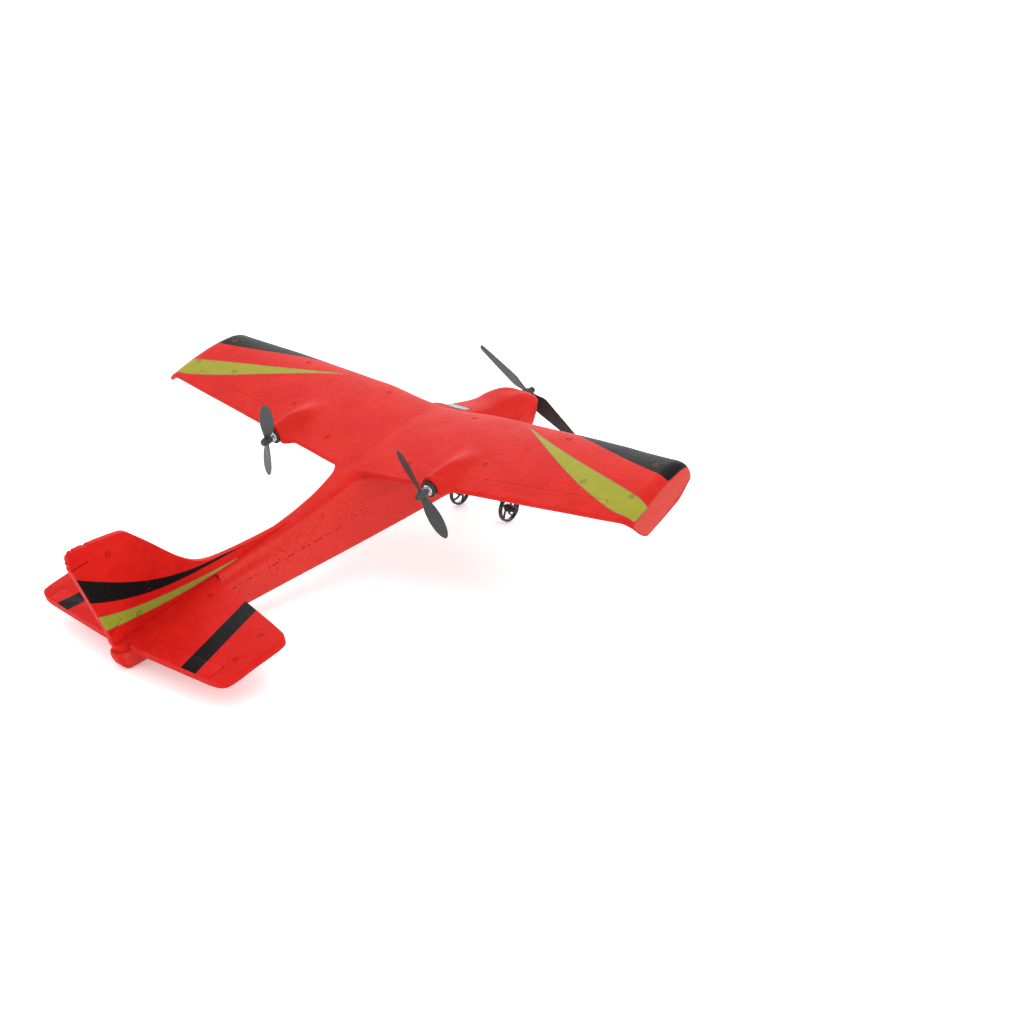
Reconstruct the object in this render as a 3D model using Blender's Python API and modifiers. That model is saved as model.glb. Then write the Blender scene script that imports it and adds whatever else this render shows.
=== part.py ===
"""A small foam radio-control monoplane: high wing with two pusher motors, slab fuselage, plate tail, wire gear.

The airframe is modelled in its own datum (millimetres): X to the right wing, Y towards the nose, Z up, with the
two pusher thrust lines along Y at Z = 0. The datum empty turns it nose towards -Y and tail down, so that it stands
on its wheels and its tail on the plane Z = 0.
"""

import math

import bmesh
import bpy
from mathutils import Vector

MM = 0.001

# Driving dimensions, in millimetres
HALF_SPAN = 175.0
LE_ROOT, LE_TIP = 80.6, 75.6  # leading edge, Y at the root and the tip
TE_ROOT, TE_TIP = 3.4, 25.0  # trailing edge
LE_Z0, LE_DIHEDRAL = -9.0, 0.075
TE_Z0, TE_DIHEDRAL = -4.8, 0.045
CAMBER_UP, CAMBER_LOW, TE_HALF = 5.8, 2.8, 1.2
MOTOR_X = 57.9
PUSHER_R, PUSHER_LEFT_ANGLE, PUSHER_RIGHT_ANGLE = 25.4, 0.32, -0.45
NOSE_HUB = (0.0, 146.8, -33.4)
NOSE_PROP_R, NOSE_PROP_ANGLE = 40.7, -0.933
NOSE_END, NOSE_POLE = 143.0, 144.4  # the nose's flat end, and where its curve would close
WHEEL_X, WHEEL_Y, WHEEL_Z, WHEEL_R = 19.1, 95.6, -78.2, 8.2
TAIL_Y, TAIL_Z = -151.0, -23.4  # where the tail touches the ground
BELLY_Z0, BELLY_SLOPE = -42.6, -0.127
BAY_Y = 62.0  # middle of the battery bay
FIN_T, STAB_T = 4.0, 4.2
STAB_TOP = -9.0
GAP = 0.35
HINGE_GAP = 0.65
CENTRE_Y = -0.004423 # metres: shifts the model so that its box is centred over the origin

REACH, DROP = WHEEL_Y - TAIL_Y, TAIL_Z - WHEEL_Z
SIT = math.atan2(DROP, REACH) + math.asin(WHEEL_R / math.hypot(REACH, DROP))
LIFT = -(TAIL_Y * math.sin(SIT) + TAIL_Z * math.cos(SIT))

for old in list(bpy.data.objects):
    bpy.data.objects.remove(old, do_unlink=True)

parts = bpy.data.collections.new("foam_rc_plane")
cutters = bpy.data.collections.new("cutters")
bpy.context.scene.collection.children.link(parts)
bpy.context.scene.collection.children.link(cutters)


def material(name, colour, roughness, metallic=0.0):
    mat = bpy.data.materials.new(name)
    mat.use_nodes = True
    shader = mat.node_tree.nodes["Principled BSDF"]
    shader.inputs["Base Color"].default_value = (*colour, 1.0)
    shader.inputs["Roughness"].default_value = roughness
    shader.inputs["Metallic"].default_value = metallic
    return mat


RED_FOAM = material("red_foam", (0.78, 0.045, 0.035), 0.62)
BLACK_PLASTIC = material("black_plastic", (0.02, 0.022, 0.024), 0.38)
STEEL = material("steel", (0.55, 0.55, 0.56), 0.3, 1.0)
MOTOR_CAN = material("motor_can", (0.68, 0.68, 0.7), 0.25, 1.0)
WHITE_PLASTIC = material("white_plastic", (0.75, 0.75, 0.73), 0.4)
CELL = material("battery_wrap", (0.1, 0.16, 0.4), 0.4)
BOARD = material("board_green", (0.03, 0.2, 0.08), 0.5)
LEAD = material("lead_sheath", (0.05, 0.05, 0.055), 0.5)

datum = bpy.data.objects.new("datum", None)
parts.objects.link(datum)
datum.location = (0.0, CENTRE_Y, LIFT * MM)
datum.rotation_euler = (SIT, 0.0, math.pi)

# The belly's own frame: its Y runs along the sloping belly and its Z is the belly's inward normal.
belly = bpy.data.objects.new("belly_datum", None)
parts.objects.link(belly)
belly.parent = datum
belly.location = Vector((0.0, BAY_Y, BELLY_Z0 + BELLY_SLOPE * BAY_Y)) * MM
belly.rotation_euler = (math.atan(BELLY_SLOPE), 0.0, 0.0)


def place(obj, mat, origin=(0, 0, 0), rotation=(0, 0, 0), parent=None, cutter=False):
    (cutters if cutter else parts).objects.link(obj)
    obj.parent = parent or datum
    obj.location = Vector(origin) * MM
    obj.rotation_euler = rotation
    if cutter:
        obj.hide_render = True
        obj.display_type = "WIRE"
    elif mat is not None:
        obj.data.materials.append(mat)
    return obj


def from_bmesh(name, bm):
    bmesh.ops.recalc_face_normals(bm, faces=bm.faces)
    mesh = bpy.data.meshes.new(name)
    bm.to_mesh(mesh)
    bm.free()
    mesh.shade_smooth()
    mesh.set_sharp_from_angle(angle=math.radians(35))
    return bpy.data.objects.new(name, mesh)


def loft(name, rings, mat, origin=(0, 0, 0), **where):
    """Skin between closed rings with the same number of points, capped at both ends."""
    bm = bmesh.new()
    rows = [[bm.verts.new((Vector(p) - Vector(origin)) * MM) for p in ring] for ring in rings]
    count = len(rows[0])
    for a, b in zip(rows, rows[1:]):
        for i in range(count):
            j = (i + 1) % count
            bm.faces.new((a[i], a[j], b[j], b[i]))
    bm.faces.new(rows[0][::-1])
    bm.faces.new(rows[-1])
    return place(from_bmesh(name, bm), mat, origin, **where)


def box(name, low, high, mat, bevel=0.0, origin=None, **where):
    low, high = Vector(low), Vector(high)
    middle = (low + high) / 2 if origin is None else Vector(origin)
    bm = bmesh.new()
    bmesh.ops.create_cube(bm, size=1.0)
    bmesh.ops.scale(bm, vec=(high - low) * MM, verts=bm.verts)
    bmesh.ops.translate(bm, vec=((low + high) / 2 - middle) * MM, verts=bm.verts)
    obj = place(from_bmesh(name, bm), mat, middle, **where)
    if bevel:
        rounding = obj.modifiers.new("rounding", "BEVEL")
        rounding.width = bevel * MM
        rounding.segments = 2
    return obj


AXIS_TURN = {"X": (0, math.pi / 2, 0), "Y": (-math.pi / 2, 0, 0), "Z": (0, 0, 0)}


def turned(name, profile, axis, mat, origin, steps=20, closed=False, **where):
    """A profile of (radius, height) points, from the top down its outer side, turned about an axis through origin."""
    mesh = bpy.data.meshes.new(name)
    edges = [(i, i + 1) for i in range(len(profile) - 1)]
    if closed:
        edges.append((len(profile) - 1, 0))
    mesh.from_pydata([(r * MM, 0.0, h * MM) for r, h in profile], edges, [])
    obj = place(bpy.data.objects.new(name, mesh), mat, origin, AXIS_TURN[axis], **where)
    screw = obj.modifiers.new("turn", "SCREW")
    screw.axis = "Z"
    screw.angle = 2 * math.pi
    screw.steps = screw.render_steps = steps
    screw.use_merge_vertices = True
    screw.merge_threshold = 0.00001
    screw.use_smooth_shade = True
    return obj


def rod(name, radius, low, high, axis, mat, origin, steps=12, **where):
    """A plain round bar from low to high along an axis."""
    profile = [(0, high), (radius, high), (radius, low), (0, low)]
    return turned(name, profile, axis, mat, origin, steps, **where)


def to_mesh(curve):
    """A curve object made into a closed mesh object of the same name and place."""
    bpy.context.view_layer.update()
    graph = bpy.context.evaluated_depsgraph_get()
    mesh = bpy.data.meshes.new_from_object(curve.evaluated_get(graph))
    bm = bmesh.new()
    bm.from_mesh(mesh)
    bmesh.ops.remove_doubles(bm, verts=bm.verts, dist=1e-6)
    bmesh.ops.recalc_face_normals(bm, faces=bm.faces)
    bm.to_mesh(mesh)
    bm.free()
    name = curve.name
    made = bpy.data.objects.new(name + "_mesh", mesh)
    for home in curve.users_collection:
        home.objects.link(made)
    made.parent = curve.parent
    made.location, made.rotation_euler = curve.location, curve.rotation_euler
    made.hide_render, made.display_type = curve.hide_render, curve.display_type
    bpy.data.objects.remove(curve, do_unlink=True)
    made.name = name
    return made


def plate(name, outline, low, high, across, mat, origin=(0, 0, 0), **where):
    """A flat outline extruded from low to high: across X the outline is (y, z), across Z it is (x, y)."""
    curve = bpy.data.curves.new(name, "CURVE")
    curve.dimensions = "2D"
    curve.fill_mode = "BOTH"
    curve.extrude = (high - low) / 2 * MM
    spline = curve.splines.new("POLY")
    spline.points.add(len(outline) - 1)
    spline.use_cyclic_u = True
    middle = (low + high) / 2
    ox, oy, oz = origin
    for point, (u, v) in zip(spline.points, outline):
        if across == "X":
            point.co = ((u - oy) * MM, (v - oz) * MM, 0, 1)
        else:
            point.co = ((u - ox) * MM, (v - oy) * MM, 0, 1)
    turn = (math.pi / 2, 0, math.pi / 2) if across == "X" else (0, 0, 0)
    at = (middle, oy, oz) if across == "X" else (ox, oy, middle)
    return to_mesh(place(bpy.data.objects.new(name, curve), mat, at, turn, **where))


def wire(name, points, radius, mat, sides=2, **where):
    curve = bpy.data.curves.new(name, "CURVE")
    curve.dimensions = "3D"
    curve.bevel_depth = radius * MM
    curve.bevel_resolution = sides
    curve.use_fill_caps = True
    spline = curve.splines.new("POLY")
    spline.points.add(len(points) - 1)
    for point, p in zip(spline.points, points):
        point.co = (*(Vector(p) * MM), 1)
    return to_mesh(place(bpy.data.objects.new(name, curve), mat, **where))


def cut(target, tool, operation="DIFFERENCE"):
    modifier = target.modifiers.new(tool.name, "BOOLEAN")
    modifier.operation = operation
    modifier.solver = "EXACT"
    modifier.object = tool
    return target


# Wing surfaces


def corner(ax, start, size):
    t = min(max((ax - start) / (HALF_SPAN - start), 0.0), 0.999)
    return size * (1 - math.sqrt(1 - t * t))


def y_le(x):
    """The leading edge bows forward a little between the root and the tip."""
    ax = abs(x)
    bow = 3.0 * smooth((ax - 8) / 38) * (1 - 0.65 * smooth((ax - 105) / 60))
    return LE_ROOT + (LE_TIP - LE_ROOT) * ax / HALF_SPAN + bow - corner(ax, HALF_SPAN - 8, 7.0)


def y_te(x):
    """The trailing edge, drawn back a little where it closes round each motor."""
    ax = abs(x)
    drawn = 4.6 * (1 - smooth((abs(ax - MOTOR_X) - 5.2) / 6.5))
    return TE_ROOT + (TE_TIP - TE_ROOT) * ax / HALF_SPAN + corner(ax, HALF_SPAN - 4, 3.0) - drawn


def fullness(s):
    """Thickness along the chord, 1 at its fullest."""
    return 10 * (0.2969 * math.sqrt(s) - 0.126 * s - 0.3516 * s**2 + 0.2843 * s**3 - 0.1015 * s**4)


def smooth(t):
    t = min(max(t, 0.0), 1.0)
    return t * t * (3 - 2 * t)


def tip_round(ax):
    t = min(max((ax - (HALF_SPAN - 5)) / 5, 0.0), 0.97)
    return math.sqrt(1 - t * t)


def rake(ax, s):
    """The tip is raked: towards the leading edge the outer stations draw in by this much."""
    return 5.4 * (1 - s) ** 1.2 * smooth((ax - 140) / 35)


def droop(ax, s):
    """The tip turns down along its outer edge, more at the rear than at the leading edge."""
    inboard = HALF_SPAN - ax + rake(HALF_SPAN, s) * (1 - smooth((ax - 140) / 35)) * 0.4
    return (4.2 + 2.8 * smooth(s / 0.3)) * max(1 - inboard / 13.0, 0.0) ** 2


def raked(x, s):
    return x - math.copysign(rake(abs(x), s), x)


def wing_z(x, s, upper):
    """Height of the wing's upper or lower skin at a span station and a fraction of the chord."""
    ax = abs(x)
    z_le, z_te = LE_Z0 + LE_DIHEDRAL * ax, TE_Z0 + TE_DIHEDRAL * ax
    middle = z_le + s * (z_te - z_le) - droop(ax, s)
    taper = 1 - 0.08 * ax / HALF_SPAN
    if not upper:
        return middle - (CAMBER_LOW * taper * fullness(s) + TE_HALF * s) * tip_round(ax)
    z = middle + (CAMBER_UP * taper * fullness(s) + TE_HALF * s) * tip_round(ax)
    y = y_le(x) + s * (y_te(x) - y_le(x))
    off = min(abs(ax - MOTOR_X) / 9.5, 1.0)
    crest = max(6.6 - z, 0.0) * smooth((46.0 - y) / 28.0)
    return z + crest * math.cos(math.pi / 2 * off) ** 2


def wing_at(x, y, upper):
    return wing_z(x, min(max((y_le(x) - y) / (y_le(x) - y_te(x)), 0.0), 1.0), upper)


UPPER_S = [0.0, 0.012, 0.05, 0.12, 0.22, 0.35, 0.48, 0.6, 0.71, 0.81, 0.9, 1.0]
LOWER_S = [1.0, 0.85, 0.6, 0.35, 0.15, 0.04]


def wing_ring(x):
    ring = [(raked(x, s), y_le(x) + s * (y_te(x) - y_le(x)), wing_z(x, s, True)) for s in UPPER_S]
    return ring + [(raked(x, s), y_le(x) + s * (y_te(x) - y_le(x)), wing_z(x, s, False)) for s in LOWER_S]


HALF_STATIONS = [14, 22, 32, 40, 46, 49.5, 52.5, 55.2, 57.9, 60.6, 63.3, 66.3, 70, 92, 122, 150, 162, 165.5, 168.5, 171, 173, 174.3, 175]
STATIONS = [-x for x in reversed(HALF_STATIONS)] + [0.0] + HALF_STATIONS
wing = loft("wing", [wing_ring(x) for x in STATIONS], RED_FOAM)


# Fuselage: half-sections from the top centre line down the right side to the belly


def belly_z(y):
    return BELLY_Z0 + BELLY_SLOPE * y


def half_section(y, top, spine, cove, width, seam, flat, bottom):
    return [
        (0.0, top),
        (spine * 0.62, top - 0.25),
        (spine, top - 1.5),
        (cove[0], cove[1]),
        (width - 0.6, seam + 3.2),
        (width, seam + 0.6),
        (width - 0.3, seam - 2.6),
        (flat + 1.6, bottom + 2.4),
        (flat, bottom),
        (0.0, bottom),
    ]


def under_wing(y, spine, width, seam, flat):
    seat = [(x, wing_at(x, y, False) - GAP - 0.1) for x in (0.0, spine * 0.62, spine)]
    bottom = belly_z(y)
    return seat + [
        (width - 0.9, seat[2][1] - 4.0),
        (width - 0.3, seam + 4.0),
        (width, seam + 0.6),
        (width - 0.3, seam - 2.6),
        (flat + 1.6, bottom + 2.4),
        (flat, bottom),
        (0.0, bottom),
    ]


NOSE_BASE = [(0.0, -19.9), (5.5, -20.15), (8.9, -21.4), (12.4, -25.7), (13.4, -32.4), (13.8, -34.0)]
NOSE_BASE += [(13.4, -35.7), (11.0, -54.2), (9.2, -56.8), (0.0, -56.8)]
ROOT_END = under_wing(3.0, 8.7, 12.05, -21.4, 8.8)
ROOT_END[3:5] = [(9.95, -9.3), (11.45, -18.1)]  # the sides run on from the boom's


def nose_section(y):
    """The nose closes like a chisel: quickly in height, and in width only at its end."""
    u = (y - 115.0) / (NOSE_POLE - 115.0)
    tall, wide = (1 - u**1.7) ** (1 / 1.45), (1 - u**10) ** (1 / 3)
    return [(x * wide, -37.6 + (z + 37.6) * tall + 4.5 * u * u) for x, z in NOSE_BASE]


TAIL_END = [(0.0, -10.5), (0.7, -10.8), (1.2, -12.0), (1.7, -13.4), (2.2, -14.2), (2.4, -15.4)]
TAIL_END += [(2.3, -16.6), (1.7, -17.6), (1.0, -18.0), (0.0, -18.0)]
sections = [
    (-154.6, TAIL_END),
    (-153.0, half_section(-153, -9.9, 2.0, (3.2, -13.2), 4.6, -17.0, 2.6, -21.6)),
    (TAIL_Y, half_section(TAIL_Y, -9.3, 2.4, (3.6, -12.8), 5.7, -17.2, 3.6, TAIL_Z)),
    (-145.0, half_section(-145, -9.1, 2.6, (3.8, -12.7), 6.0, -17.3, 4.0, belly_z(-145))),
    (-120.0, half_section(-120, -8.7, 3.0, (4.0, -12.4), 6.2, -17.6, 4.2, belly_z(-120))),
    (-80.0, half_section(-80, -8.5, 3.6, (4.7, -12.6), 7.8, -19.0, 5.4, belly_z(-80))),
    (-40.0, half_section(-40, -8.4, 4.8, (6.2, -12.8), 9.7, -21.8, 7.0, belly_z(-40))),
    (-20.0, half_section(-20, -7.2, 5.6, (7.2, -12.0), 10.8, -22.8, 7.9, belly_z(-20))),
    (-8.0, half_section(-8, -5.6, 6.8, (8.6, -10.8), 11.5, -22.0, 8.4, belly_z(-8))),
    (2.6, half_section(2.6, -3.9, 8.6, (9.8, -9.0), 12.0, -21.4, 8.8, belly_z(2.6))),
    (3.0, ROOT_END),
    (20.0, under_wing(20.0, 10.0, 12.7, -24.4, 9.3)),
    (42.0, under_wing(42.0, 11.0, 13.2, -27.6, 9.7)),
    (62.0, under_wing(62.0, 11.4, 13.6, -30.5, 9.9)),
    (76.0, under_wing(76.0, 11.5, 13.9, -32.0, 10.1)),
    (80.9, under_wing(80.9, 11.5, 14.0, -32.3, 10.2)),
    (81.3, half_section(81.3, -6.4, 10.4, (12.4, -11.5), 14.0, -32.3, 10.2, belly_z(81.3))),
    (88.0, half_section(88, -11.2, 10.5, (12.8, -16.6), 14.1, -32.7, 10.3, belly_z(88))),
    (96.0, half_section(96, -14.7, 10.6, (12.9, -20.4), 14.2, -33.0, 10.3, belly_z(96))),
]
sections += [(y, nose_section(y)) for y in (115.0, 122.0, 128.0, 133.0, 137.0, 140.0, 142.0, NOSE_END)]


def whole_ring(y, half):
    right = [(x, y, z) for x, z in half]
    return right + [(-x, y, z) for x, z in reversed(half[1:-1])]


fuselage = loft("fuselage", [whole_ring(y, half) for y, half in sections], RED_FOAM)

# Fin: a foam plate let into the spine, with a trim tab at its rear edge
RUDDER_TOP, RUDDER_FOOT = (-151.4, 37.4), (-145.75, 1.0)


def along(a, b, t):
    return (a[0] + (b[0] - a[0]) * t, a[1] + (b[1] - a[1]) * t)


fin_front = [(-41.0, -8.3), (-51.9, -7.2), (-63, -5.6), (-74.4, -3.7), (-83, -2.0), (-89.5, -0.3), (-94, 1.4)]
fin_front += [(-97.8, 3.5), (-101.4, 6.4), (-104.9, 9.8), (-111.3, 17.6), (-119.4, 28.5), (-126.2, 37.0)]
fin_front += [(-127.6, 38.7), (-129.6, 40.2), (-132.2, 41.2)]
fin_top = [(-142.5, 43.8), (-153.7, 45.9), (-157.0, 46.2), (-159.2, 45.0), (-160.2, 42.6), (-160.3, 38.4)]
fin_hinge = [(RUDDER_TOP[0] + HINGE_GAP, 38.3), (RUDDER_FOOT[0] + HINGE_GAP, RUDDER_FOOT[1] - 0.4)]
fin_hinge += [(-153.2, -4.0), (-153.8, -4.6), (-153.6, -8.65)]  # the foot under the tab
fin_base = [(-91.2, -8.65), (-90.5, -12.2), (-41.0, -12.2)]
fin = plate("fin", fin_front + fin_top + fin_hinge + fin_base, -FIN_T / 2, FIN_T / 2, "X", RED_FOAM)
rudder_outline = [RUDDER_TOP, (-160.1, 37.6), (-159.2, 32.0), (-153.8, -2.6), (-153.4, -3.4), RUDDER_FOOT]
rudder_mid = along(RUDDER_TOP, RUDDER_FOOT, 0.5)
rudder_tab = plate(
    "rudder_tab", rudder_outline, -FIN_T / 2, FIN_T / 2, "X", RED_FOAM, origin=(0, rudder_mid[0], rudder_mid[1])
)

# Tailplane: one foam plate, with a trim tab in each rear edge
ELEV_IN, ELEV_OUT = (15.5, -140.1), (61.0, -137.4)


def stab_te(x):
    return -149.3 + (x - 8.4) * 0.0565


stab_half = [(0.0, -91.5), (8.0, -93.2), (32.0, -98.2), (62.6, -104.9), (67.2, -106.2), (69.6, -108.0), (70.7, -110.8)]
stab_half += [(70.3, -128.0), (69.9, -140.6), (68.8, -143.6), (66.0, -145.4), (ELEV_OUT[0] + HINGE_GAP, stab_te(61.6))]
stab_half += [(ELEV_OUT[0] + HINGE_GAP, ELEV_OUT[1] + HINGE_GAP), (ELEV_IN[0] - HINGE_GAP, ELEV_IN[1] + HINGE_GAP)]
stab_half += [(ELEV_IN[0] - HINGE_GAP, stab_te(14.8)), (7.8, -149.3), (6.6, -147.0), (5.9, -146.6), (5.3, -147.0)]
stab_half += [(5.0, -149.2), (4.3, -151.2), (2.5, -152.9), (0.0, -153.4)]
stab_outline = stab_half + [(-x, y) for x, y in reversed(stab_half[1:-1])]
tailplane = plate("tailplane", stab_outline, STAB_TOP - STAB_T, STAB_TOP, "Z", RED_FOAM)
for side, word in ((-1, "left"), (1, "right")):
    corners = [ELEV_IN, ELEV_OUT, (61.0, stab_te(61.0)), (15.5, stab_te(15.5))]
    middle = along(ELEV_IN, ELEV_OUT, 0.5)
    plate(
        "elevator_" + word,
        [(side * x, y) for x, y in corners],
        STAB_TOP - STAB_T,
        STAB_TOP,
        "Z",
        RED_FOAM,
        origin=(side * middle[0], middle[1], 0),
    )

# Aileron trim tabs, cut out of the wing's rear edge
AIL_IN, AIL_OUT = 80.0, 150.0


def aileron_hinge(ax):
    return 23.4 + 0.124 * (ax - AIL_IN)


def aileron_ring(x):
    front, rear = aileron_hinge(abs(x)), y_te(x)
    rows = [front + (rear - front) * t for t in (0.0, 0.5, 1.0)]
    return [(x, y, wing_at(x, y, True)) for y in rows] + [(x, y, wing_at(x, y, False)) for y in reversed(rows)]


for side, word in ((-1, "left"), (1, "right")):
    ends = [(AIL_IN - 0.6, 0.0), (AIL_OUT + 0.6, 0.0)]
    rear = [(AIL_OUT + 0.6, aileron_hinge(AIL_OUT + 0.6) + HINGE_GAP)]
    rear += [(AIL_IN - 0.6, aileron_hinge(AIL_IN - 0.6) + HINGE_GAP)]
    notch = plate(
        "aileron_notch_" + word, [(side * x, y) for x, y in ends + rear], -20, 25, "Z", None, cutter=True
    )
    cut(wing, notch)
    middle_x = side * (AIL_IN + AIL_OUT) / 2
    middle_y = aileron_hinge(abs(middle_x))
    middle_z = (wing_at(middle_x, middle_y, True) + wing_at(middle_x, middle_y, False)) / 2
    spans = [AIL_IN, 103.0, 126.0, AIL_OUT]
    loft("aileron_" + word, [aileron_ring(side * x) for x in spans], RED_FOAM, origin=(middle_x, middle_y, middle_z))

# Motors: a plastic sleeve in each hump holds the can, and the shaft carries the propeller


def blade_rings(reach, width, root, pitch, turn, thick):
    """Rings of one blade along +Z: chord across X, thickness and pitch towards Y."""
    rings = []
    for t, chord in width:
        r = root + (reach - root) * t
        angle = turn * (math.radians(pitch) * (1 - 0.62 * t) + math.radians(6))
        half, depth = chord / 2, thick * (1 - 0.55 * t) / 2
        ring = []
        for u, v in ((-1, 0), (-0.45, 0.9), (0.15, 1), (1, 0), (0.15, -0.6), (-0.45, -0.6)):
            x, y = u * half, v * depth
            ring.append((x * math.cos(angle) - y * math.sin(angle), x * math.sin(angle) + y * math.cos(angle), r))
        rings.append(ring)
    return rings


def propeller(name, hub, angle, reach, widths, hub_profile, bore, turn, pitch=34.0, thick=1.5):
    prop = turned(name, hub_profile, "Y", BLACK_PLASTIC, hub, steps=18)
    prop.rotation_euler = (-math.pi / 2, angle, 0)
    rings = blade_rings(reach, widths, 1.5, pitch, turn, thick)
    for i, way in enumerate((1, -1)):
        # The hub's own Z is the shaft, so the blade's span lies along its -Y and Y
        turned_rings = [[(way * x, -way * z, y) for x, y, z in ring] for ring in rings]
        cut(prop, loft(f"{name}_blade_{i}", turned_rings, None, parent=prop, cutter=True), "UNION")
    cut(prop, rod(name + "_bore", bore, -9, 9, "Z", None, (0, 0, 0), parent=prop, cutter=True))
    return prop


PUSHER_WIDTHS = [(0.0, 3.0), (0.14, 5.2), (0.34, 8.0), (0.56, 9.0), (0.76, 8.0), (0.91, 5.4), (0.98, 2.8), (1.0, 1.4)]
for side, word, angle in ((-1, "left", PUSHER_LEFT_ANGLE), (1, "right", PUSHER_RIGHT_ANGLE)):
    x = side * MOTOR_X
    hub_profile = [(0, 3.0), (1.9, 3.0), (2.3, 2.2), (2.3, -2.0), (1.7, -3.6), (0, -3.6)]
    propeller("propeller_" + word, (x, 0, 0), angle, PUSHER_R, PUSHER_WIDTHS, hub_profile, 0.85, -side, pitch=13.0)
    rod("motor_shaft_" + word, 0.5, -3.2, 8.6, "Y", STEEL, (x, 0, 0))
    can = [(0, 24.0), (1.9, 24.0), (3.0, 23.0), (3.0, 4.4), (2.6, 4.0), (0, 4.0)]
    motor = turned("motor_" + word, can, "Y", MOTOR_CAN, (x, 0, 0))
    cut(motor, rod("motor_bore_" + word, 0.85, 0, 9.2, "Y", None, (x, 0, 0), cutter=True))
    sleeve = [(4.0, 25.0), (4.05, 8.0), (4.4, 5.8), (4.4, 4.9), (4.1, 4.4), (3.35, 4.4), (3.35, 25.0)]
    turned("motor_mount_" + word, sleeve, "Y", BLACK_PLASTIC, (x, 0, 0), steps=22, closed=True)
    # The hump's channel, wider for the collar at its rear end, and a tunnel for the lead
    channel = [(0, 25.4), (4.4, 25.4), (4.4, 9.4), (4.8, 8.9), (4.8, -1.0), (0, -1.0)]
    cut(wing, turned("motor_channel_" + word, channel, "Y", None, (x, 0, 0), steps=22, cutter=True))
    route = [(x, 24.6, 0), (x, 31, -0.2), (side * 54, 39, -1.2), (side * 40, 44, -2.6), (side * 16, 46, -5.6)]
    route += [(side * 6, 46.5, -6.6), (side * 3.6, 47, -9), (side * 3.2, 47, -20), (side * 3.0, 47, -29)]
    wire("motor_lead_" + word, route, 0.7, LEAD)
    cut(wing, wire("lead_tunnel_" + word, [(x, 20, 0)] + route[1:], 1.15, None, cutter=True))

# Nose: a bearing bush, and a propeller that turns freely on a pin
nx, ny, nz = NOSE_HUB
NOSE_WIDTHS = [(0.0, 4.0), (0.1, 6.4), (0.25, 10.2), (0.45, 8.8), (0.65, 7.2), (0.82, 5.7), (0.94, 4.6), (0.985, 3.7), (1.0, 2.4)]
nose_profile = [(0, 2.0), (2.2, 2.0), (3.2, 1.0), (3.2, -1.4), (2.6, -2.0), (0, -2.0)]
propeller(
    "nose_propeller", NOSE_HUB, NOSE_PROP_ANGLE, NOSE_PROP_R, NOSE_WIDTHS, nose_profile, 0.95, -1, pitch=18.0, thick=1.8
)
rod("nose_shaft", 0.6, -13.0, 3.6, "Y", STEEL, NOSE_HUB)
cap = turned("nose_prop_cap", [(0, 5.0), (1.2, 5.0), (2.0, 4.2), (2.0, 2.4), (0, 2.4)], "Y", BLACK_PLASTIC, NOSE_HUB)
cut(cap, rod("nose_cap_bore", 0.95, -2, 3.95, "Y", None, NOSE_HUB, cutter=True))
bush = [(3.2, -2.5), (3.2, -3.45), (2.0, -3.45), (2.0, -14.0), (0.95, -14.0), (0.95, -2.5)]
turned("nose_bearing", bush, "Y", BLACK_PLASTIC, NOSE_HUB, closed=True)
cut(fuselage, rod("nose_bore", 2.35, -14.4, 4, "Y", None, NOSE_HUB, steps=18, cutter=True))

# Landing gear: a plate in the belly, two wire legs, and wheels kept on by collars
plate_low = -57.0
gear_plate = box("landing_gear_plate", (-9, 88, plate_low), (9, 103, -53.4), BLACK_PLASTIC, bevel=0.6)
cut(fuselage, box("gear_recess", (-9.35, 87.65, -75), (9.35, 103.35, -53.0), None, cutter=True))
for side, word in ((-1, "left"), (1, "right")):
    socket_x = side * 6.4
    route = [(socket_x, WHEEL_Y, -54.6), (socket_x, WHEEL_Y, -58.6), (side * 6.9, WHEEL_Y, -59.8)]
    route += [(side * 13.9, WHEEL_Y, WHEEL_Z + 1.6), (side * 14.6, WHEEL_Y, WHEEL_Z + 0.4), (side * 15.7, WHEEL_Y, WHEEL_Z)]
    route += [(side * 24.4, WHEEL_Y, WHEEL_Z)]
    wire("gear_leg_" + word, route, 0.6, STEEL)
    cut(gear_plate, rod("leg_socket_" + word, 1.0, -70, -54.0, "Z", None, (socket_x, WHEEL_Y, 0), cutter=True))
    hub = (side * WHEEL_X, WHEEL_Y, WHEEL_Z)
    hub_profile = [(2.4, 2.2), (2.4, -2.2), (1.0, -2.2), (1.0, 2.2)]
    wheel = turned("wheel_" + word, hub_profile, "X", BLACK_PLASTIC, hub, closed=True)
    rim = [(7.8, 1.4), (WHEEL_R, 0.9), (WHEEL_R, -0.9), (7.8, -1.4), (6.9, -1.4), (6.6, -1.0), (6.6, 1.0), (6.9, 1.4)]
    cut(wheel, turned("rim_" + word, rim, "Z", None, (0, 0, 0), steps=30, closed=True, parent=wheel, cutter=True), "UNION")
    for i in range(5):
        spoke = box(f"spoke_{word}_{i}", (1.9, -0.6, -0.75), (7.1, 0.6, 0.75), None, origin=(0, 0, 0), parent=wheel, cutter=True)
        spoke.rotation_euler = (0, 0, 2 * math.pi * i / 5)
        cut(wheel, spoke, "UNION")
    stub = [(1.7, 6.4), (1.7, 2.6), (0.95, 2.6), (0.95, 6.4)]
    if side < 0:
        stub = [(r, -h) for r, h in reversed(stub)]
    turned("wheel_collar_" + word, stub, "X", BLACK_PLASTIC, hub, steps=14, closed=True)

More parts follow.
